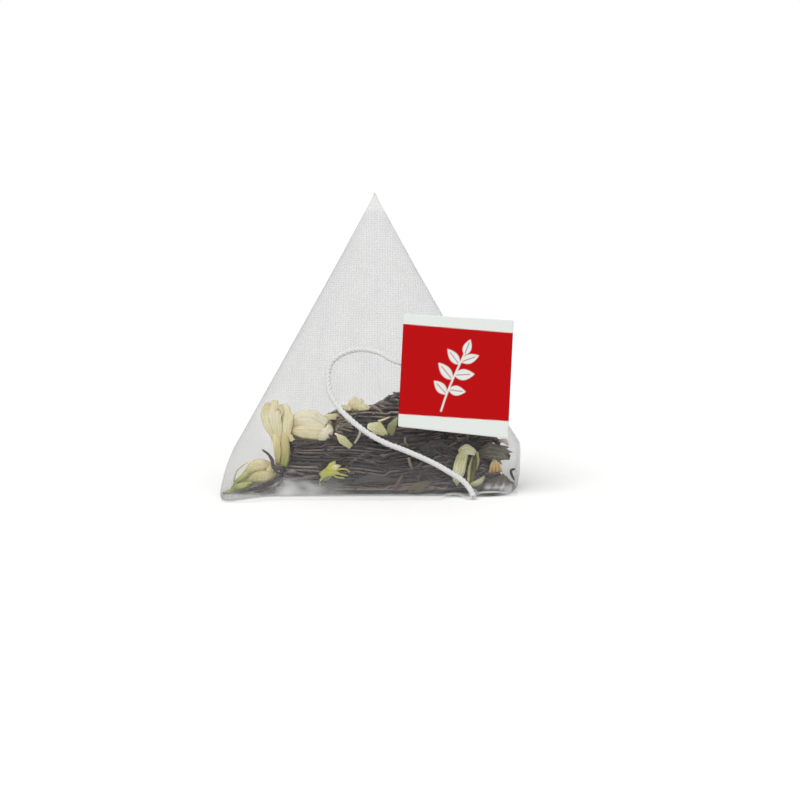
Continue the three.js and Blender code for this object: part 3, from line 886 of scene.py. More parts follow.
def rolled_leaf(skin, path, wide, thick, shade, seed, twist, sides=6):
    """A dried leaf rolled into a wiry strand along a path, thin at both ends and twisted, with painted
    shade: its upper side is painted lighter and its underside darker.
    """
    count = len(path)
    share = np.linspace(0, 1, count)
    across, through = carried_frames(path)
    size = np.clip(np.sin(math.pi * (0.05 + 0.90 * share)) ** 0.4, 0.25, 1)
    size = size * (1 + 0.25 * waves(share * count, seed, 0.55))
    turn = twist * share * 2 * math.pi + seed
    light = 1 + 0.35 * waves(share * count, seed + 50, 0.6)
    rings, tones_with_painted_shade = [], []
    for k in range(sides):
        angle = 2 * math.pi * k / sides + 0.4 * math.sin(seed * 3.7 + k)
        a, b = math.cos(angle) * wide / 2, math.sin(angle) * thick / 2
        x = a * np.cos(turn) - b * np.sin(turn)
        y = a * np.sin(turn) + b * np.cos(turn)
        away = (size * x)[:, None] * across + (size * y)[:, None] * through
        rings.append(path + away)
        # painted shade: the side of the strand facing up is painted lighter and the side facing down darker,
        # as if lit from above
        lit = away[:, 2] / (0.5 * max(wide, thick))
        tones_with_painted_shade.append(light * (0.74 + 0.95 * np.clip(lit, -1, 1)))
    rings, tones_with_painted_shade = np.stack(rings, axis=1), np.stack(tones_with_painted_shade, axis=1)
    tint = np.asarray(shade)[None, None, :] * tones_with_painted_shade[:, :, None]
    skin.rings(rings, np.clip(tint, 0.006, 1))


def heap_top(u):
    """How far up the front panel the tea reaches."""
    return np.interp(
        u,
        (-17.6, -16.8, -16.0, -13.6, -10.5, -8.4, -4.4, -0.6, 1.2, 3.3, 5.5, 11.4, 18.0, 22.1, 23.8, 24.6),
        (0.5, 4.0, 10.6, 11.4, 14.6, 16.6, 17.8, 18.0, 18.9, 20.8, 20.8, 18.5, 14.0, 11.2, 8.4, 5.0),
    )


def under_top(points):
    """The same points, kept under the heap's domed top and clear of the right corner."""
    p = points.copy()
    front = 0.885 * heap_top(p[:, 0]) - 1.4
    back = np.maximum(p[:, 1] + 18, 0)
    cap = front - 0.13 * back - 0.0105 * back**2
    p[:, 2] = np.minimum(p[:, 2], np.maximum(cap, 0.9))
    ragged = [noise.noise(Vector((0.3 * y, 0.5 * z, 6.0))) for y, z in p[:, 1:]]
    p[:, 0] = np.minimum(p[:, 0], 21.7 + 1.3 * np.array(ragged))
    return p


def sway(u, v):
    """How far the lie of the strands rises or falls from level."""
    wave = noise.noise(Vector((u * 0.085, v * 0.07, 2.0)))
    rough = noise.noise(Vector((u * 0.22, v * 0.2, 8.0)))
    return 1.1 * wave + (0.25 if u < 7 else 0.8) * rough - 0.05 * (u + 16) * (u < 2) * (1 - v / 30)


def painted_light_up_heap(shade, height):
    """Painted light: tea is painted paler towards the top of the heap, as if more lit there."""
    return np.array(shade) * (1 + 0.9 * min(max((height - 12) / 5, 0), 1)) + 0.012


STRAND_ROWS = 34
STRAND_PITCH = 0.66
FRONT_LEAVES, FIBRE_COUNT, HEAP_LEAVES = 230, 26, 1450


def front_leaves():
    """Long strands lying almost level against the front panel, one above another."""
    skin = Skin()
    for row in range(STRAND_ROWS):
        v0 = 0.9 + STRAND_PITCH * row
        u = -17.4 + dice.uniform(0, 1)
        while u < 24:
            length = dice.uniform(7, 20) if u < 6 else dice.uniform(3.5, 9)
            count = max(8, int(length * 1.2))
            us = np.linspace(u, u + length, count)
            lie = np.array([sway(a, v0) for a in us])
            tilt = dice.gauss(0, 0.012 if u < 6 else 0.07)
            vs = v0 + lie + tilt * (us - us.mean()) + 0.05 * waves(us, row + u, 0.5)
            depth = 1.5 + dice.uniform(-0.35, 0.45) + 0.14 * waves(us, row + 40, 0.4)
            keep = (vs < heap_top(us) - 0.2) & (vs > 0.55) & (us < 22.3)
            shade = painted_light_up_heap(dice.choice(TEA_SHADES), v0)
            size = dice.uniform(0.42, 0.66), dice.uniform(0.36, 0.54)
            u += length * dice.uniform(0.88, 1.0)
            if keep.sum() < 5:
                continue
            path = on_panel(np.stack((us, vs, depth), axis=1)[keep])
            path = keep_inside(clear(path), 0.8)
            rolled_leaf(skin, path, *size, shade, dice.uniform(0, 100), dice.uniform(0.1, 0.8))
    return skin


def loose_leaves(skin, count, where, lengths, widths, tilt, turned, shades=TEA_SHADES):
    """Strands thrown over the heap where `where` says, mostly level."""
    for _ in range(count):
        middle = where()
        length = dice.uniform(*lengths)
        rise = dice.gauss(0, tilt)
        spin = dice.uniform(-math.pi, math.pi) if turned else dice.gauss(0, 0.3)
        flat = math.cos(rise)
        along = np.array((flat * math.cos(spin), flat * math.sin(spin), math.sin(rise)))
        share = np.linspace(-0.5, 0.5, 9)
        bend = np.array([dice.gauss(0, 0.4) for _ in range(3)])
        wiggle = [0.22 * waves(share * length, dice.uniform(0, 99), 0.5) for _ in range(3)]
        path = middle + share[:, None] * length * along + (share**2)[:, None] * bend * 4
        path = path + np.stack(wiggle, axis=1)
        path = keep_inside(clear(under_top(path)), 0.9)
        size = dice.uniform(*widths), dice.uniform(0.4, 0.7)
        shade = painted_light_up_heap(dice.choice(shades), middle[2])
        rolled_leaf(skin, path, *size, shade, dice.uniform(0, 100), dice.uniform(0.2, 1.6))


def in_heap():
    """A place inside the heap behind its front leaves."""
    while True:
        p = np.array((dice.uniform(-15.5, 22), dice.uniform(-26, 25), dice.uniform(0.9, 18)))
        rest = p - FOOT
        depth = -(rest @ OUT)
        if depth < 2.6 or ((p[0] - 5) / 21.5) ** 2 + ((p[1] + 5) / 31) ** 2 > 1:
            continue
        if under_top(p[None, :])[0, 2] < p[2]:
            continue
        return p


def at_front():
    """A place against the front panel, oftener at the right and along the top of the heap."""
    while True:
        u, v = dice.uniform(-15.8, 22), dice.uniform(0.8, 21)
        top = heap_top(u)
        chance = 0.95 if u > 8 or v > top - 1.6 else 0.12
        if v < top and dice.random() < chance:
            return on_panel((u, v, dice.uniform(1.1, 2.4)))


def at_fibres():
    """A place among the pale fibres beside the cream petal."""
    return on_panel((dice.uniform(-8.2, -4.6), dice.uniform(12.6, 15.6), dice.uniform(1.0, 1.6)))


front_skin = front_leaves()
# crumbs of tea in the dark gap under the lifted seal
for first, last, thick in ((17.8, 22.6, 0.6), (11.9, 15.8, 0.34)):
    crumbs = outline(0.4, arc_steps=24, side_steps=120)
    crumbs = crumbs[(crumbs[:, 0] > first) & (crumbs[:, 0] < last) & (crumbs[:, 1] < -20)]
    path = np.stack((crumbs[:, 0] - 0.2, crumbs[:, 1] + 0.75, np.full(len(crumbs), 0.42)), axis=1)
    rolled_leaf(front_skin, path, thick, thick, (0.035, 0.028, 0.026), first, 0.1)
loose_leaves(front_skin, FRONT_LEAVES, at_front, (2.5, 7), (0.5, 1.1), 0.22, False)
loose_leaves(front_skin, FIBRE_COUNT, at_fibres, (2.5, 5), (0.3, 0.5), 0.12, False, FIBRES)
front_skin.object("tea_front_leaves", [], "black_tea")
heap_skin = Skin()
loose_leaves(heap_skin, HEAP_LEAVES, in_heap, (4, 10), (0.8, 1.7), 0.16, True)
heap_skin.object("tea_heap_leaves", ["tea_leaf_bed"], "black_tea")


# ---------------------------------------------------------------- flowers and larger leaves
def blade(
    skin, spine, widths, tints, cup=0.2, ruffle=0.1, teeth=0.0, thick=0.16, seed=1.0, steps=24, ribs=0.06
):
    """A petal or leaf along a spine (u, v, depth), curved across and ruffled at its edges, with painted
    shade along its ribs.
    """
    path = curve([(a, b, -c) for a, b, c in spine], steps)
    share = np.linspace(0, 1, steps)
    along, across, through = frames(path, (0, 0, 1))
    half = lerp_list(widths, share) / 2
    half = half * (1 + 0.10 * waves(share * 9, seed + 3, 1.0))
    if teeth:
        half = half * (1 - teeth * ((share * 9) % 1))
    colours = lerp_list(tints, share)
    top, under, tone = [], [], []
    for lane in np.linspace(-1, 1, 13):
        wave = ruffle * abs(lane) ** 1.5 * waves(share * 9 + lane * 3, seed, 0.9)
        rib = ribs * half * np.cos(lane * 12 + seed + 1.5 * share)
        rise = cup * half * (1 - lane**2) + wave + rib
        middle = path + (half * lane)[:, None] * across + rise[:, None] * through
        thin = thick / 2 * math.sqrt(max(1 - lane**2, 0.06))
        top.append(middle + thin * through)
        under.append(middle - thin * through)
        # the midrib is darker in colour; the ribs are painted lighter on their ridges and darker in their
        # grooves, which is painted shade
        midrib_and_rib_shade = 1 - 0.10 * bell(lane, 0.12) + (0.03 + 0.8 * ribs) * np.cos(lane * 12 + seed + 1.5 * share)
        spots = 1 + 0.10 * waves(share * 6 + lane * 2, seed + 9, 1.6)
        tone.append(colours * (midrib_and_rib_shade * spots)[:, None])
    rings = np.stack(top + under[::-1], axis=1)[:, ::-1]
    shades = np.stack(tone + tone[::-1], axis=1)[:, ::-1]
    skin.rings(rings, np.clip(shades, 0.004, 1))


def bud_body(
    skin, spine, radii, flat, tints, folds=5, depth=0.12, swirl=0.05, seed=1.0, steps=34, sides=48,
    ragged=0.0,
):
    """A bud's rolled petals: a round body along a spine with folds running down it, with painted shade
    darkening the hollows of the folds.
    """
    path = curve([(a, b, -c) for a, b, c in spine], steps)
    share = np.linspace(0, 1, steps)
    along, across, through = frames(path, (0, 0, 1))
    radius = lerp_list(radii, share)
    radius = np.convolve(np.pad(radius, 2, mode="edge"), np.ones(5) / 5, mode="valid")
    colours = lerp_list(tints, share)
    angle = 2 * math.pi * np.arange(sides) / sides
    rings, tones_with_painted_shade = [], []
    for i in range(steps):
        turn = folds * (angle + swirl * share[i] * 2 * math.pi)
        turn = turn + seed + 0.5 * math.sin(3 * share[i] + seed)
        wave = 0.5 + 0.5 * np.cos(turn + 0.9 * np.sin(turn))
        fine = np.array(
            [noise.noise(Vector((math.cos(t) * 3, math.sin(t) * 3, share[i] * 2.5 + seed))) for t in angle]
        )
        size = radius[i] * (1 - depth * (1 - wave) ** 2 + 0.09 * fine)
        slip = ragged * share[i] ** 4 * (wave + fine)
        ring = (
            path[i]
            + (size * np.cos(angle))[:, None] * across[i]
            + (size * flat * np.sin(angle))[:, None] * through[i]
            + slip[:, None] * along[i]
        )
        rings.append(ring)
        # painted shade: the hollows of the folds are painted darker than their crests
        tones_with_painted_shade.append(colours[i][None, :] * (0.80 + 0.20 * wave**0.5 + 0.12 * fine)[:, None])
    hollow = -along[-1] * radius[-1] * 0.8 if ragged else None
    skin.rings(rings, np.clip(tones_with_painted_shade, 0.004, 1), hollow)


def stem(skin, spine, radii, tints, steps=18):
    """A thin stalk along a spine (u, v, depth)."""
    path = curve([(a, b, -c) for a, b, c in spine], steps)
    share = np.linspace(0, 1, steps)
    radius = lerp_list(radii, share) * (1 + 0.15 * waves(share * 8, 1.0, 1.0))
    tone = lerp_list(tints, share) * (1 + 0.15 * waves(share * 8, 6.0, 1.0))[:, None]
    skin.rings(tube(path, *carried_frames(path), radius, 8), np.clip(tone, 0.004, 1)[:, None, :])


def grow(name, node, slot, *parts):
    """One piece made of several petals, bodies and stems, with their u, v and -depth turned round."""
    skin = Skin()
    for make, *values in parts:
        facts = values.pop() if isinstance(values[-1], dict) else {}
        make(skin, *values, **facts)
    points = np.asarray(skin.points, float) * (1, 1, -1)
    skin.points = keep_inside(on_panel(points), 0.25).tolist()
    return skin.object(name, [node], slot)


# The dried plants' colours.
IVORY = (0.95, 0.88, 0.58)
PALE = (0.97, 0.92, 0.69)
HONEY = (0.90, 0.80, 0.45)
STRAW = (0.74, 0.66, 0.32)
TUBE_GREEN = (0.58, 0.53, 0.21)
LIME = (0.60, 0.61, 0.21)
MOSS = (0.38, 0.43, 0.11)
BLUSH = (0.92, 0.77, 0.50)

grow(
    "bud_upright", "jasmine_bud_upright", "cream_petal",
    (bud_body,
     [(-17.0, 6.1, 2.9), (-16.9, 8.6, 3.0), (-17.2, 11.0, 3.2), (-17.8, 13.9, 3.5), (-18.0, 17.2, 3.8)],
     [1.2, 1.5, 1.5, 2.2, 2.4], 0.8, [TUBE_GREEN, STRAW, HONEY, IVORY, IVORY],
     {"folds": 5, "depth": 0.26, "swirl": 0.02, "seed": 2.0, "ragged": 0.6}),
    (blade, [(-18.0, 10.8, 2.4), (-18.9, 13.2, 1.9), (-19.5, 15.4, 1.8), (-19.7, 17.9, 2.2)],
     [0.6, 2.0, 2.7, 1.3], [HONEY, IVORY, IVORY, HONEY], {"cup": 0.4, "ruffle": 0.4, "seed": 3.0}),
    (blade, [(-17.3, 10.6, 2.0), (-17.8, 13.0, 1.5), (-18.3, 15.2, 1.4), (-18.3, 18.3, 1.8)],
     [0.6, 1.9, 2.5, 1.3], [HONEY, IVORY, PALE, IVORY], {"cup": 0.35, "ruffle": 0.4, "seed": 4.0}),
    (blade, [(-16.4, 10.6, 2.2), (-16.1, 13.0, 1.8), (-16.0, 15.4, 1.8), (-16.5, 17.8, 2.2)],
     [0.7, 1.9, 2.1, 0.9], [HONEY, IVORY, IVORY, PALE], {"cup": 0.4, "ruffle": 0.35, "seed": 5.0}),
    (blade, [(-18.4, 15.8, 1.2), (-17.7, 16.8, 1.1), (-16.9, 16.2, 1.2), (-17.2, 15.1, 1.3)],
     [0.3, 0.6, 0.6, 0.3], [IVORY, BLUSH, BLUSH, HONEY], {"cup": 0.6, "ruffle": 0.2, "seed": 6.0}),
    (blade, [(-16.5, 6.0, 1.8), (-16.2, 8.2, 1.5), (-16.3, 10.6, 1.6), (-16.7, 12.8, 1.8)],
     [1.2, 1.5, 1.5, 0.6], [MOSS, TUBE_GREEN, STRAW, HONEY], {"cup": 0.5, "ruffle": 0.2, "seed": 7.0}),
    (blade, [(-17.6, 6.6, 1.8), (-17.6, 8.6, 1.5), (-17.9, 10.8, 1.6), (-18.2, 12.6, 1.9)],
     [0.8, 1.3, 1.4, 0.6], [TUBE_GREEN, STRAW, HONEY, IVORY], {"cup": 0.5, "ruffle": 0.25, "seed": 7.7}),
)

grow(
    "bud_lying", "jasmine_bud_lying", "cream_petal",
    (bud_body,
     [(-15.6, 13.7, 3.9), (-13.7, 13.9, 4.0), (-11.8, 13.9, 4.1), (-10.0, 13.7, 4.0), (-8.5, 13.2, 3.8)],
     [1.6, 2.5, 2.75, 2.6, 2.1], 0.78, [HONEY, IVORY, PALE, PALE, IVORY],
     {"folds": 3, "depth": 0.10, "swirl": 0.03, "seed": 1.2}),
    (blade, [(-15.5, 14.5, 2.7), (-13.6, 15.0, 1.9), (-11.4, 14.7, 1.6), (-9.2, 13.6, 2.0)],
     [1.6, 3.0, 3.4, 2.6],
     [HONEY, PALE, PALE, PALE], {"cup": 0.32, "ruffle": 0.15, "seed": 8.0, "ribs": 0.015}),
    (blade, [(-15.2, 12.9, 2.7), (-13.2, 12.7, 1.9), (-11.0, 12.5, 1.6), (-9.2, 12.5, 1.9)],
     [1.2, 2.8, 3.0, 2.0],
     [HONEY, IVORY, IVORY, PALE], {"cup": 0.35, "ruffle": 0.15, "seed": 9.0, "ribs": 0.015}),
    (blade, [(-10.6, 11.3, 1.9), (-9.4, 11.7, 1.5), (-8.7, 12.6, 1.6), (-8.5, 13.8, 1.9)],
     [0.8, 2.0, 2.1, 1.0],
     [IVORY, PALE, PALE, IVORY], {"cup": 0.4, "ruffle": 0.25, "seed": 10.0, "ribs": 0.015}),
    (blade, [(-16.0, 12.4, 2.4), (-15.6, 11.5, 2.1), (-14.9, 10.9, 2.1)], [0.9, 1.5, 0.6],
     [BLUSH, HONEY, HONEY], {"cup": 0.3, "ruffle": 0.2, "seed": 11.0}),
)

grow(
    "bud_corner", "jasmine_bud_corner", "cream_petal",
    (bud_body, [(-23.2, 3.9, 3.3), (-21.6, 4.9, 3.5), (-19.9, 5.4, 3.8), (-17.6, 5.3, 4.0)],
     [1.4, 2.2, 2.2, 1.2], 0.8, [STRAW, HONEY, HONEY, STRAW],
     {"folds": 6, "depth": 0.2, "swirl": 0.05, "seed": 5.0}),
    (blade, [(-23.0, 4.8, 2.3), (-21.9, 6.0, 1.8), (-20.3, 6.4, 1.8), (-18.6, 6.2, 2.2)],
     [1.0, 2.0, 2.2, 1.0], [STRAW, HONEY, IVORY, STRAW], {"cup": 0.4, "ruffle": 0.25, "seed": 12.0}),
    (blade, [(-22.8, 3.3, 2.2), (-21.4, 4.0, 1.7), (-19.6, 4.2, 1.7), (-17.9, 4.7, 2.2)],
     [0.8, 2.0, 2.2, 0.8], [LIME, STRAW, HONEY, STRAW], {"cup": 0.4, "ruffle": 0.25, "seed": 13.0}),
    (blade, [(-19.6, 3.6, 2.2), (-18.9, 5.2, 1.8), (-18.6, 7.0, 2.2)], [0.6, 1.5, 0.6],
     [STRAW, HONEY, STRAW], {"cup": 0.4, "ruffle": 0.2, "seed": 13.5}),
)

grow(
    "calyx_corner", "jasmine_calyx_corner", "green_calyx",
    (bud_body, [(-25.6, 1.9, 2.4), (-24.7, 2.5, 2.6), (-23.8, 3.2, 2.9), (-22.9, 3.9, 3.1)],
     [0.4, 1.1, 1.5, 1.4], 0.8, [MOSS, MOSS, LIME, LIME],
     {"folds": 5, "depth": 0.2, "seed": 6.0, "steps": 18, "sides": 24}),
    (stem, [(-27.2, 1.0, 1.7), (-26.3, 1.2, 1.9), (-25.4, 1.8, 2.3)], [0.4, 0.32, 0.4], [MOSS, MOSS, MOSS]),
    (stem, [(-25.3, 3.2, 1.7), (-24.9, 4.8, 1.4), (-23.9, 6.0, 1.5), (-22.8, 6.9, 1.8)],
     [0.15, 0.15, 0.13, 0.08], [LIME, LIME, HONEY]),
    (blade, [(-25.0, 2.2, 1.6), (-23.8, 2.4, 1.4), (-22.2, 3.0, 1.6)], [0.8, 1.2, 0.3],
     [MOSS, LIME, LIME], {"cup": 0.4, "seed": 14.0}),
    (blade, [(-24.8, 3.2, 1.7), (-23.6, 4.2, 1.5), (-22.6, 5.2, 1.7)], [0.7, 1.0, 0.2],
     [MOSS, LIME, STRAW], {"cup": 0.4, "seed": 14.5}),
)

grow(
    "floret", "floret_yellow", "cream_petal",
    (blade, [(-4.9, 16.9, 1.9), (-4.4, 17.9, 1.6), (-3.7, 18.9, 1.8)], [0.8, 1.5, 0.8],
     [HONEY, IVORY, IVORY],
     {"ruffle": 0.3, "seed": 15.0}),
    (blade, [(-4.1, 16.7, 1.6), (-3.3, 17.6, 1.4), (-2.5, 18.5, 1.7)], [0.9, 1.6, 0.7],
     [STRAW, IVORY, IVORY],
     {"ruffle": 0.3, "seed": 16.0}),
    (blade, [(-3.4, 16.6, 1.5), (-2.4, 17.0, 1.4), (-1.2, 16.9, 1.7)], [0.7, 1.4, 0.6],
     [HONEY, IVORY, HONEY],
     {"ruffle": 0.3, "seed": 17.0}),
    (blade, [(-4.6, 16.6, 1.5), (-5.4, 16.9, 1.5), (-6.2, 17.3, 1.7)], [0.6, 1.1, 0.4],
     [HONEY, IVORY, HONEY],
     {"ruffle": 0.3, "seed": 17.5}),
    (bud_body, [(-4.6, 16.8, 2.6), (-3.6, 17.3, 2.6), (-2.4, 17.3, 2.6)], [0.5, 0.9, 0.5], 0.8,
     [STRAW, HONEY, HONEY], {"steps": 14, "sides": 20}),
)

YELLOW = (0.62, 0.62, 0.09)
grow(
    "calyx_middle", "calyx_green", "green_calyx",
    (bud_body, [(-9.8, 4.0, 1.6), (-8.9, 4.6, 1.6), (-8.0, 5.3, 1.6)], [0.95, 1.15, 0.85], 0.8,
     [LIME, YELLOW, YELLOW], {"steps": 14, "sides": 20, "folds": 5, "depth": 0.25}),
    (blade, [(-8.6, 5.2, 1.1), (-7.9, 6.1, 1.1), (-7.3, 6.8, 1.3)], [0.9, 1.1, 0.4],
     [YELLOW, YELLOW, LIME], {"seed": 18.0}),
    (blade, [(-8.2, 5.0, 1.0), (-7.2, 5.7, 1.0), (-6.3, 6.0, 1.2)], [0.7, 1.0, 0.2],
     [YELLOW, BLUSH, LIME], {"seed": 19.0}),
    (blade, [(-8.6, 4.4, 1.0), (-7.6, 4.6, 1.0), (-6.6, 4.7, 1.2)], [0.8, 1.0, 0.3],
     [YELLOW, YELLOW, LIME], {"seed": 19.5}),
    (stem, [(-7.6, 4.9, 1.1), (-6.4, 5.3, 1.0), (-5.2, 5.2, 1.1), (-4.6, 4.6, 1.2)], [0.17, 0.16, 0.12],
     [YELLOW, LIME]),
    (stem, [(-7.8, 4.6, 1.0), (-6.6, 4.4, 1.0), (-5.0, 4.1, 1.2)], [0.2, 0.18, 0.12], [YELLOW, LIME]),
    (stem, [(-7.8, 4.3, 1.1), (-6.8, 3.8, 1.1), (-5.6, 3.7, 1.2)], [0.16, 0.14, 0.12], [LIME, LIME]),
    (stem, [(-9.6, 3.7, 1.1), (-10.0, 2.9, 1.1), (-9.9, 2.0, 1.2)], [0.2, 0.18, 0.12], [LIME, MOSS]),
)

DUSK = (0.060, 0.046, 0.042)
SOOT = (0.085, 0.067, 0.060)
UMBER = (0.13, 0.10, 0.055)
OLIVE = (0.30, 0.29, 0.12)
SAGE = (0.52, 0.53, 0.26)
CELERY = (0.66, 0.64, 0.33)
WHEAT = (0.97, 0.94, 0.62)
ASH = (0.22, 0.205, 0.155)

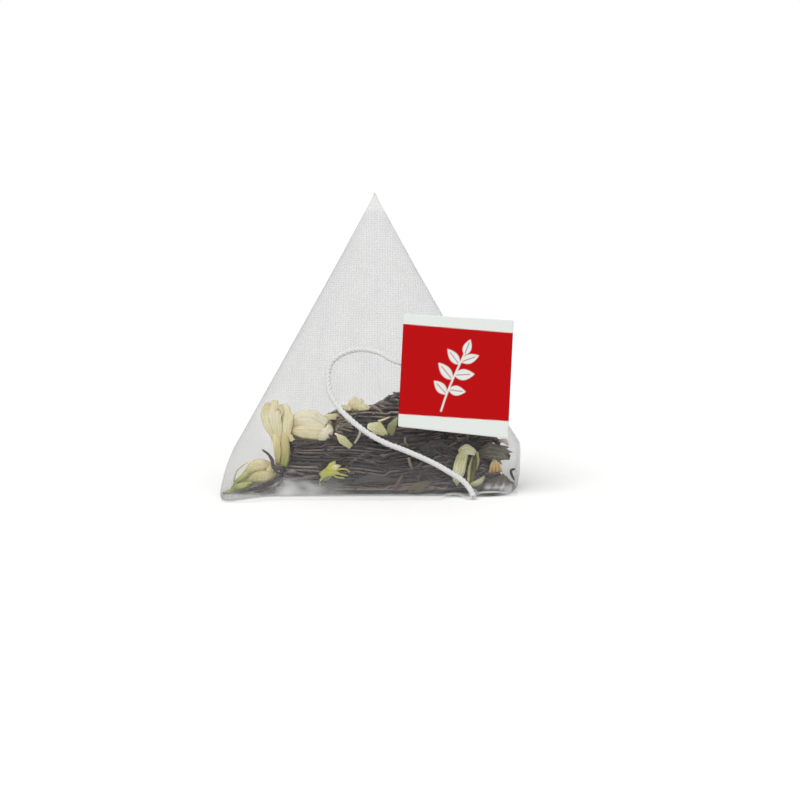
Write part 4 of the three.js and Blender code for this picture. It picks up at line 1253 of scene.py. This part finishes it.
PIECES = (  # name, CAD node, material, slot and parts
    ("dark_leaf_left", "leaf_dark_left", "brown_leaf",
     (blade, [(-24.6, 0.9, 1.6), (-22.4, 1.6, 1.3), (-20.0, 2.2, 1.1), (-16.9, 3.9, 1.4)],
      [0.2, 0.4, 1.3, 0.9], [SOOT, DUSK, SOOT, DUSK],
      {"cup": 0.2, "ruffle": 0.5, "teeth": 0.4, "seed": 20.0, "ribs": 0.3, "steps": 54}),
     (blade, [(-21.6, 1.2, 1.4), (-20.2, 1.3, 1.2), (-18.6, 2.0, 1.3)], [0.2, 0.5, 0.2], [DUSK, SOOT, DUSK],
      {"teeth": 0.3, "seed": 20.5})),
    ("cream_top", "petal_cream_top", "cream_petal",
     (blade, [(-10.4, 15.2, 2.9), (-9.0, 15.4, 2.5), (-7.4, 15.5, 2.4), (-6.2, 15.0, 2.4)],
      [0.7, 1.2, 1.2, 0.4], [HONEY, IVORY, HONEY, LIME], {"ruffle": 0.25, "seed": 21.0})),
    ("sliver", "petal_sliver", "green_petal",
     (blade, [(-7.4, 12.0, 1.2), (-6.0, 10.7, 0.95), (-4.5, 9.4, 1.1)], [0.3, 1.6, 1.0],
      [IVORY, CELERY, SAGE],
      {"seed": 22.0, "cup": 0.3})),
    ("kite", "petal_kite", "green_petal",
     (blade, [(-1.6, 13.4, 1.2), (0.1, 12.9, 0.95), (1.9, 11.6, 1.1)], [0.9, 2.6, 0.6],
      [WHEAT, CELERY, CELERY],
      {"seed": 23.0, "cup": 0.2, "ruffle": 0.2})),
    ("olive_petal", "petal_olive", "green_petal",
     (blade, [(2.3, 11.8, 1.5), (2.8, 13.3, 1.2), (3.7, 15.0, 1.4)], [1.4, 1.7, 0.5], [OLIVE, OLIVE, SAGE],
      {"seed": 24.0, "ruffle": 0.4}),
     (stem, [(0.3, 14.2, 1.0), (1.3, 14.5, 0.9), (2.4, 15.0, 1.0)], [0.2, 0.18, 0.1], [IVORY, HONEY])),
    ("large_petal", "petal_large", "green_petal",
     (blade, [(14.0, 2.5, 1.8), (14.6, 4.9, 1.3), (15.1, 7.0, 1.2), (15.7, 8.7, 1.6)], [0.8, 2.2, 2.1, 1.5],
      [WHEAT, WHEAT, CELERY, WHEAT], {"seed": 25.0, "cup": 0.45, "ruffle": 0.35, "ribs": 0.16}),
     (blade, [(14.6, 8.5, 1.1), (16.1, 8.9, 1.0), (17.6, 8.4, 1.4)], [0.8, 2.0, 1.0],
      [CELERY, WHEAT, WHEAT],
      {"seed": 26.0, "ruffle": 0.5, "ribs": 0.14})),
    ("curled_tip", "petal_curled_tip", "green_petal",
     (blade, [(16.3, 2.6, 1.8), (17.4, 2.7, 1.5), (18.5, 3.3, 1.5), (19.2, 4.3, 1.7)], [0.4, 1.1, 1.0, 0.4],
      [SAGE, CELERY, CELERY], {"seed": 27.0, "cup": 0.6})),
    ("orange_bit", "petal_orange", "orange_petal",
     (blade, [(21.2, 5.0, 2.0), (21.1, 6.2, 1.7), (20.9, 7.4, 1.9)], [2.5, 1.9, 0.5],
      [(0.66, 0.32, 0.10), (0.95, 0.68, 0.30), (0.97, 0.84, 0.56)],
      {"seed": 28.0, "cup": 0.1, "ruffle": 0.5, "ribs": 0.2})),
    ("inner_brown", "leaf_brown_inner", "brown_leaf",
     (blade, [(16.6, 2.9, 1.8), (17.0, 5.6, 1.5), (17.6, 8.7, 1.8)], [0.9, 1.5, 0.7],
      [(0.36, 0.30, 0.07), (0.20, 0.16, 0.06), (0.28, 0.25, 0.11)],
      {"seed": 29.0, "cup": -0.5, "ruffle": 0.5, "ribs": 0.3}),
     (stem, [(17.9, 8.6, 1.6), (18.1, 7.0, 1.5), (17.8, 5.2, 1.7)], [0.3, 0.26, 0.12], [SAGE, OLIVE]),
     (stem, [(16.3, 3.0, 1.2), (16.5, 5.4, 1.0), (17.1, 7.8, 1.2)], [0.26, 0.24, 0.14], [LIME, OLIVE])),
    ("front_brown", "leaf_brown_front", "brown_leaf",
     (blade, [(5.6, 1.3, 1.2), (7.4, 2.0, 0.95), (9.9, 3.0, 1.1)], [1.0, 2.1, 0.5],
      [UMBER, (0.17, 0.13, 0.07), UMBER],
      {"seed": 30.0, "cup": 0.3, "ruffle": 0.5})),
    ("serrated", "leaf_serrated", "brown_leaf",
     (blade, [(17.9, 8.0, 2.0), (20.0, 8.7, 1.8), (22.2, 8.5, 2.2), (23.8, 8.0, 2.9)], [1.0, 3.3, 3.1, 0.8],
      [SOOT, ASH, (0.25, 0.23, 0.18), UMBER],
      {"seed": 31.0, "teeth": 0.25, "ruffle": 0.5, "ribs": 0.25, "steps": 54}),
     (blade, [(21.4, 9.2, 2.0), (22.6, 9.6, 2.1), (23.7, 9.8, 2.5)], [1.0, 0.9, 0.1], [ASH, ASH, ASH],
      {"seed": 31.2}),
     (blade, [(21.6, 8.8, 1.9), (22.9, 9.0, 2.1), (24.3, 8.9, 2.7)], [1.1, 1.0, 0.1], [ASH, ASH, ASH],
      {"seed": 31.4}),
     (blade, [(21.4, 8.1, 1.9), (22.6, 7.9, 2.1), (23.7, 7.4, 2.5)], [1.1, 0.9, 0.1], [ASH, ASH, ASH],
      {"seed": 31.6}),
     (blade, [(20.6, 7.8, 2.0), (21.6, 7.2, 2.1), (22.4, 6.6, 2.4)], [1.0, 0.8, 0.1], [ASH, ASH, ASH],
      {"seed": 31.8})),
    ("olive_right", "leaf_olive_right", "brown_leaf",
     (blade, [(20.2, 2.8, 1.5), (22.2, 4.1, 2.9), (24.4, 3.9, 6.0)], [1.2, 2.3, 0.3],
      [UMBER, (0.20, 0.17, 0.07), SOOT],
      {"seed": 32.0, "ruffle": 0.7, "teeth": 0.3, "ribs": 0.35, "steps": 54}),
     (blade, [(20.4, 2.0, 1.5), (22.2, 3.1, 3.0), (24.5, 3.5, 6.1)], [0.8, 1.3, 0.2], [SOOT, SOOT, SOOT],
      {"seed": 32.5, "ruffle": 0.5, "ribs": 0.3})),
    ("pink_bit", "petal_pink", "cream_petal",
     (blade, [(21.9, 10.9, 2.1), (22.9, 10.8, 2.0), (23.6, 10.1, 2.3)], [0.5, 0.9, 0.5],
      [(0.5, 0.34, 0.24), (0.86, 0.74, 0.70), (0.88, 0.78, 0.76)], {"seed": 33.0})),
    ("wide_centre", "leaf_wide_centre", "brown_leaf",
     (blade, [(-4.2, 2.8, 1.7), (-0.8, 3.8, 1.4), (3.2, 3.2, 1.6)], [0.6, 1.5, 0.5],
      [SOOT, (0.12, 0.10, 0.085), SOOT],
      {"seed": 34.0, "ruffle": 0.3, "cup": 0.3, "ribs": 0.3})),
    ("wide_right", "leaf_wide_right", "brown_leaf",
     (blade, [(7.8, 9.2, 1.6), (10.4, 10.2, 1.3), (13.2, 9.4, 1.5)], [0.5, 1.5, 0.5],
      [SOOT, (0.14, 0.12, 0.10), SOOT],
      {"seed": 35.0, "ruffle": 0.4, "cup": 0.3, "ribs": 0.3})),
    ("curl_left", "stalk_curled_left", "pale_stalk",
     (stem, [(-20.3, 8.9, 1.0), (-19.2, 8.0, 0.85), (-18.5, 6.9, 0.8), (-18.2, 5.7, 0.85), (-17.2, 5.4, 0.9),
             (-16.4, 5.8, 1.0)],
      [0.16, 0.24, 0.32, 0.36, 0.32, 0.16], [DUSK, SOOT], {"steps": 30}),
     (stem, [(-18.2, 5.8, 0.85), (-17.6, 4.8, 0.9), (-16.9, 4.6, 1.0)], [0.28, 0.22, 0.1], [SOOT, DUSK])),
    ("stalk_a", "stalk_pale", "pale_stalk",
     (stem, [(-2.8, 12.5, 1.2), (-3.2, 11.3, 1.0), (-3.9, 10.1, 1.1)], [0.26, 0.22, 0.18],
      [(0.66, 0.66, 0.46), (0.5, 0.5, 0.3)])),
    ("stalk_b", "stalk_upper", "pale_stalk",
     (stem, [(5.2, 11.2, 1.2), (5.1, 10.4, 1.0), (5.7, 9.5, 1.1)], [0.24, 0.26, 0.14],
      [(0.34, 0.30, 0.16), (0.2, 0.17, 0.1)])),
    ("stalk_c", "stalk_lower", "pale_stalk",
     (stem, [(5.7, 7.4, 1.1), (6.0, 6.3, 0.95), (6.5, 5.1, 1.1)], [0.24, 0.26, 0.14],
      [(0.34, 0.34, 0.22), (0.26, 0.26, 0.14)])),
    ("stalk_d", "stalk_red", "pale_stalk",
     (stem, [(3.2, 1.2, 1.3), (3.8, 2.7, 1.0), (4.7, 4.2, 1.1)], [0.38, 0.34, 0.24],
      [(0.14, 0.07, 0.05), (0.17, 0.10, 0.07)])),
    ("curl_right", "stalk_curled_right", "pale_stalk",
     (stem, [(24.9, 6.6, 5.5), (24.2, 6.4, 5.7), (24.3, 5.6, 6.0), (24.8, 4.8, 6.4)],
      [0.18, 0.26, 0.24, 0.16], [(0.10, 0.05, 0.05), (0.07, 0.045, 0.045)])),
)
for name, node, material, slot, *parts in PIECES:
    grow(name, node, material, slot, *parts)

# ---------------------------------------------------------------- floor, light and camera
nodes = new_nodes("floor_white")
surface = add(nodes, "ShaderNodeBsdfDiffuse", in_Color=(0.86, 0.86, 0.855, 1))
add(nodes, "ShaderNodeOutputMaterial", in_Surface=surface.outputs[0])
bpy.ops.mesh.primitive_plane_add(size=12, location=(0, 0, -0.00002))
floor = bpy.context.object
floor.name = "floor"
floor.data.materials.append(LOOKS["floor_white"])

# The sky is white where the camera sees it, and a little dimmer as a light.
world = bpy.data.worlds.new("studio")
bpy.context.scene.world = world
world.use_nodes = True
nodes = world.node_tree.nodes
seen = add(nodes, "ShaderNodeLightPath").outputs["Is Camera Ray"]
strength = add(nodes, "ShaderNodeMapRange", in_Value=seen, in_To_Min=0.78, in_To_Max=1.0)
nodes["Background"].inputs["Color"].default_value = (1, 1, 1, 1)
world.node_tree.links.new(strength.outputs["Result"], nodes["Background"].inputs["Strength"])


def sun(name, toward, power, spread):
    """A soft lamp far away, shining from the direction `toward`."""
    light = bpy.data.lights.new(name, "SUN")
    light.energy = power
    light.angle = math.radians(spread)
    holder = bpy.data.objects.new(name, light)
    holder.location = Vector(toward) * 0.6
    holder.rotation_euler = (-Vector(toward)).to_track_quat("-Z", "Y").to_euler()
    bpy.context.scene.collection.objects.link(holder)
    return holder


key = sun("key", (-0.35, -0.45, 0.82), 1.35, 40)
fill = sun("fill", (0.5, -0.2, 0.84), 0.35, 60)

lens = bpy.data.cameras.new("camera")
lens.sensor_width = 36
lens.lens = 86.175
lens.clip_start = 0.01
camera = bpy.data.objects.new("camera", lens)
camera.location = (0.0042, -0.356, 0.0753)
camera.rotation_euler = (math.radians(80), 0, 0)
bpy.context.scene.collection.objects.link(camera)
bpy.context.scene.camera = camera
bpy.context.scene.view_settings.view_transform = "Standard"
bpy.context.scene.cycles.transparent_max_bounces = 48
bpy.context.scene.cycles.max_bounces = 8
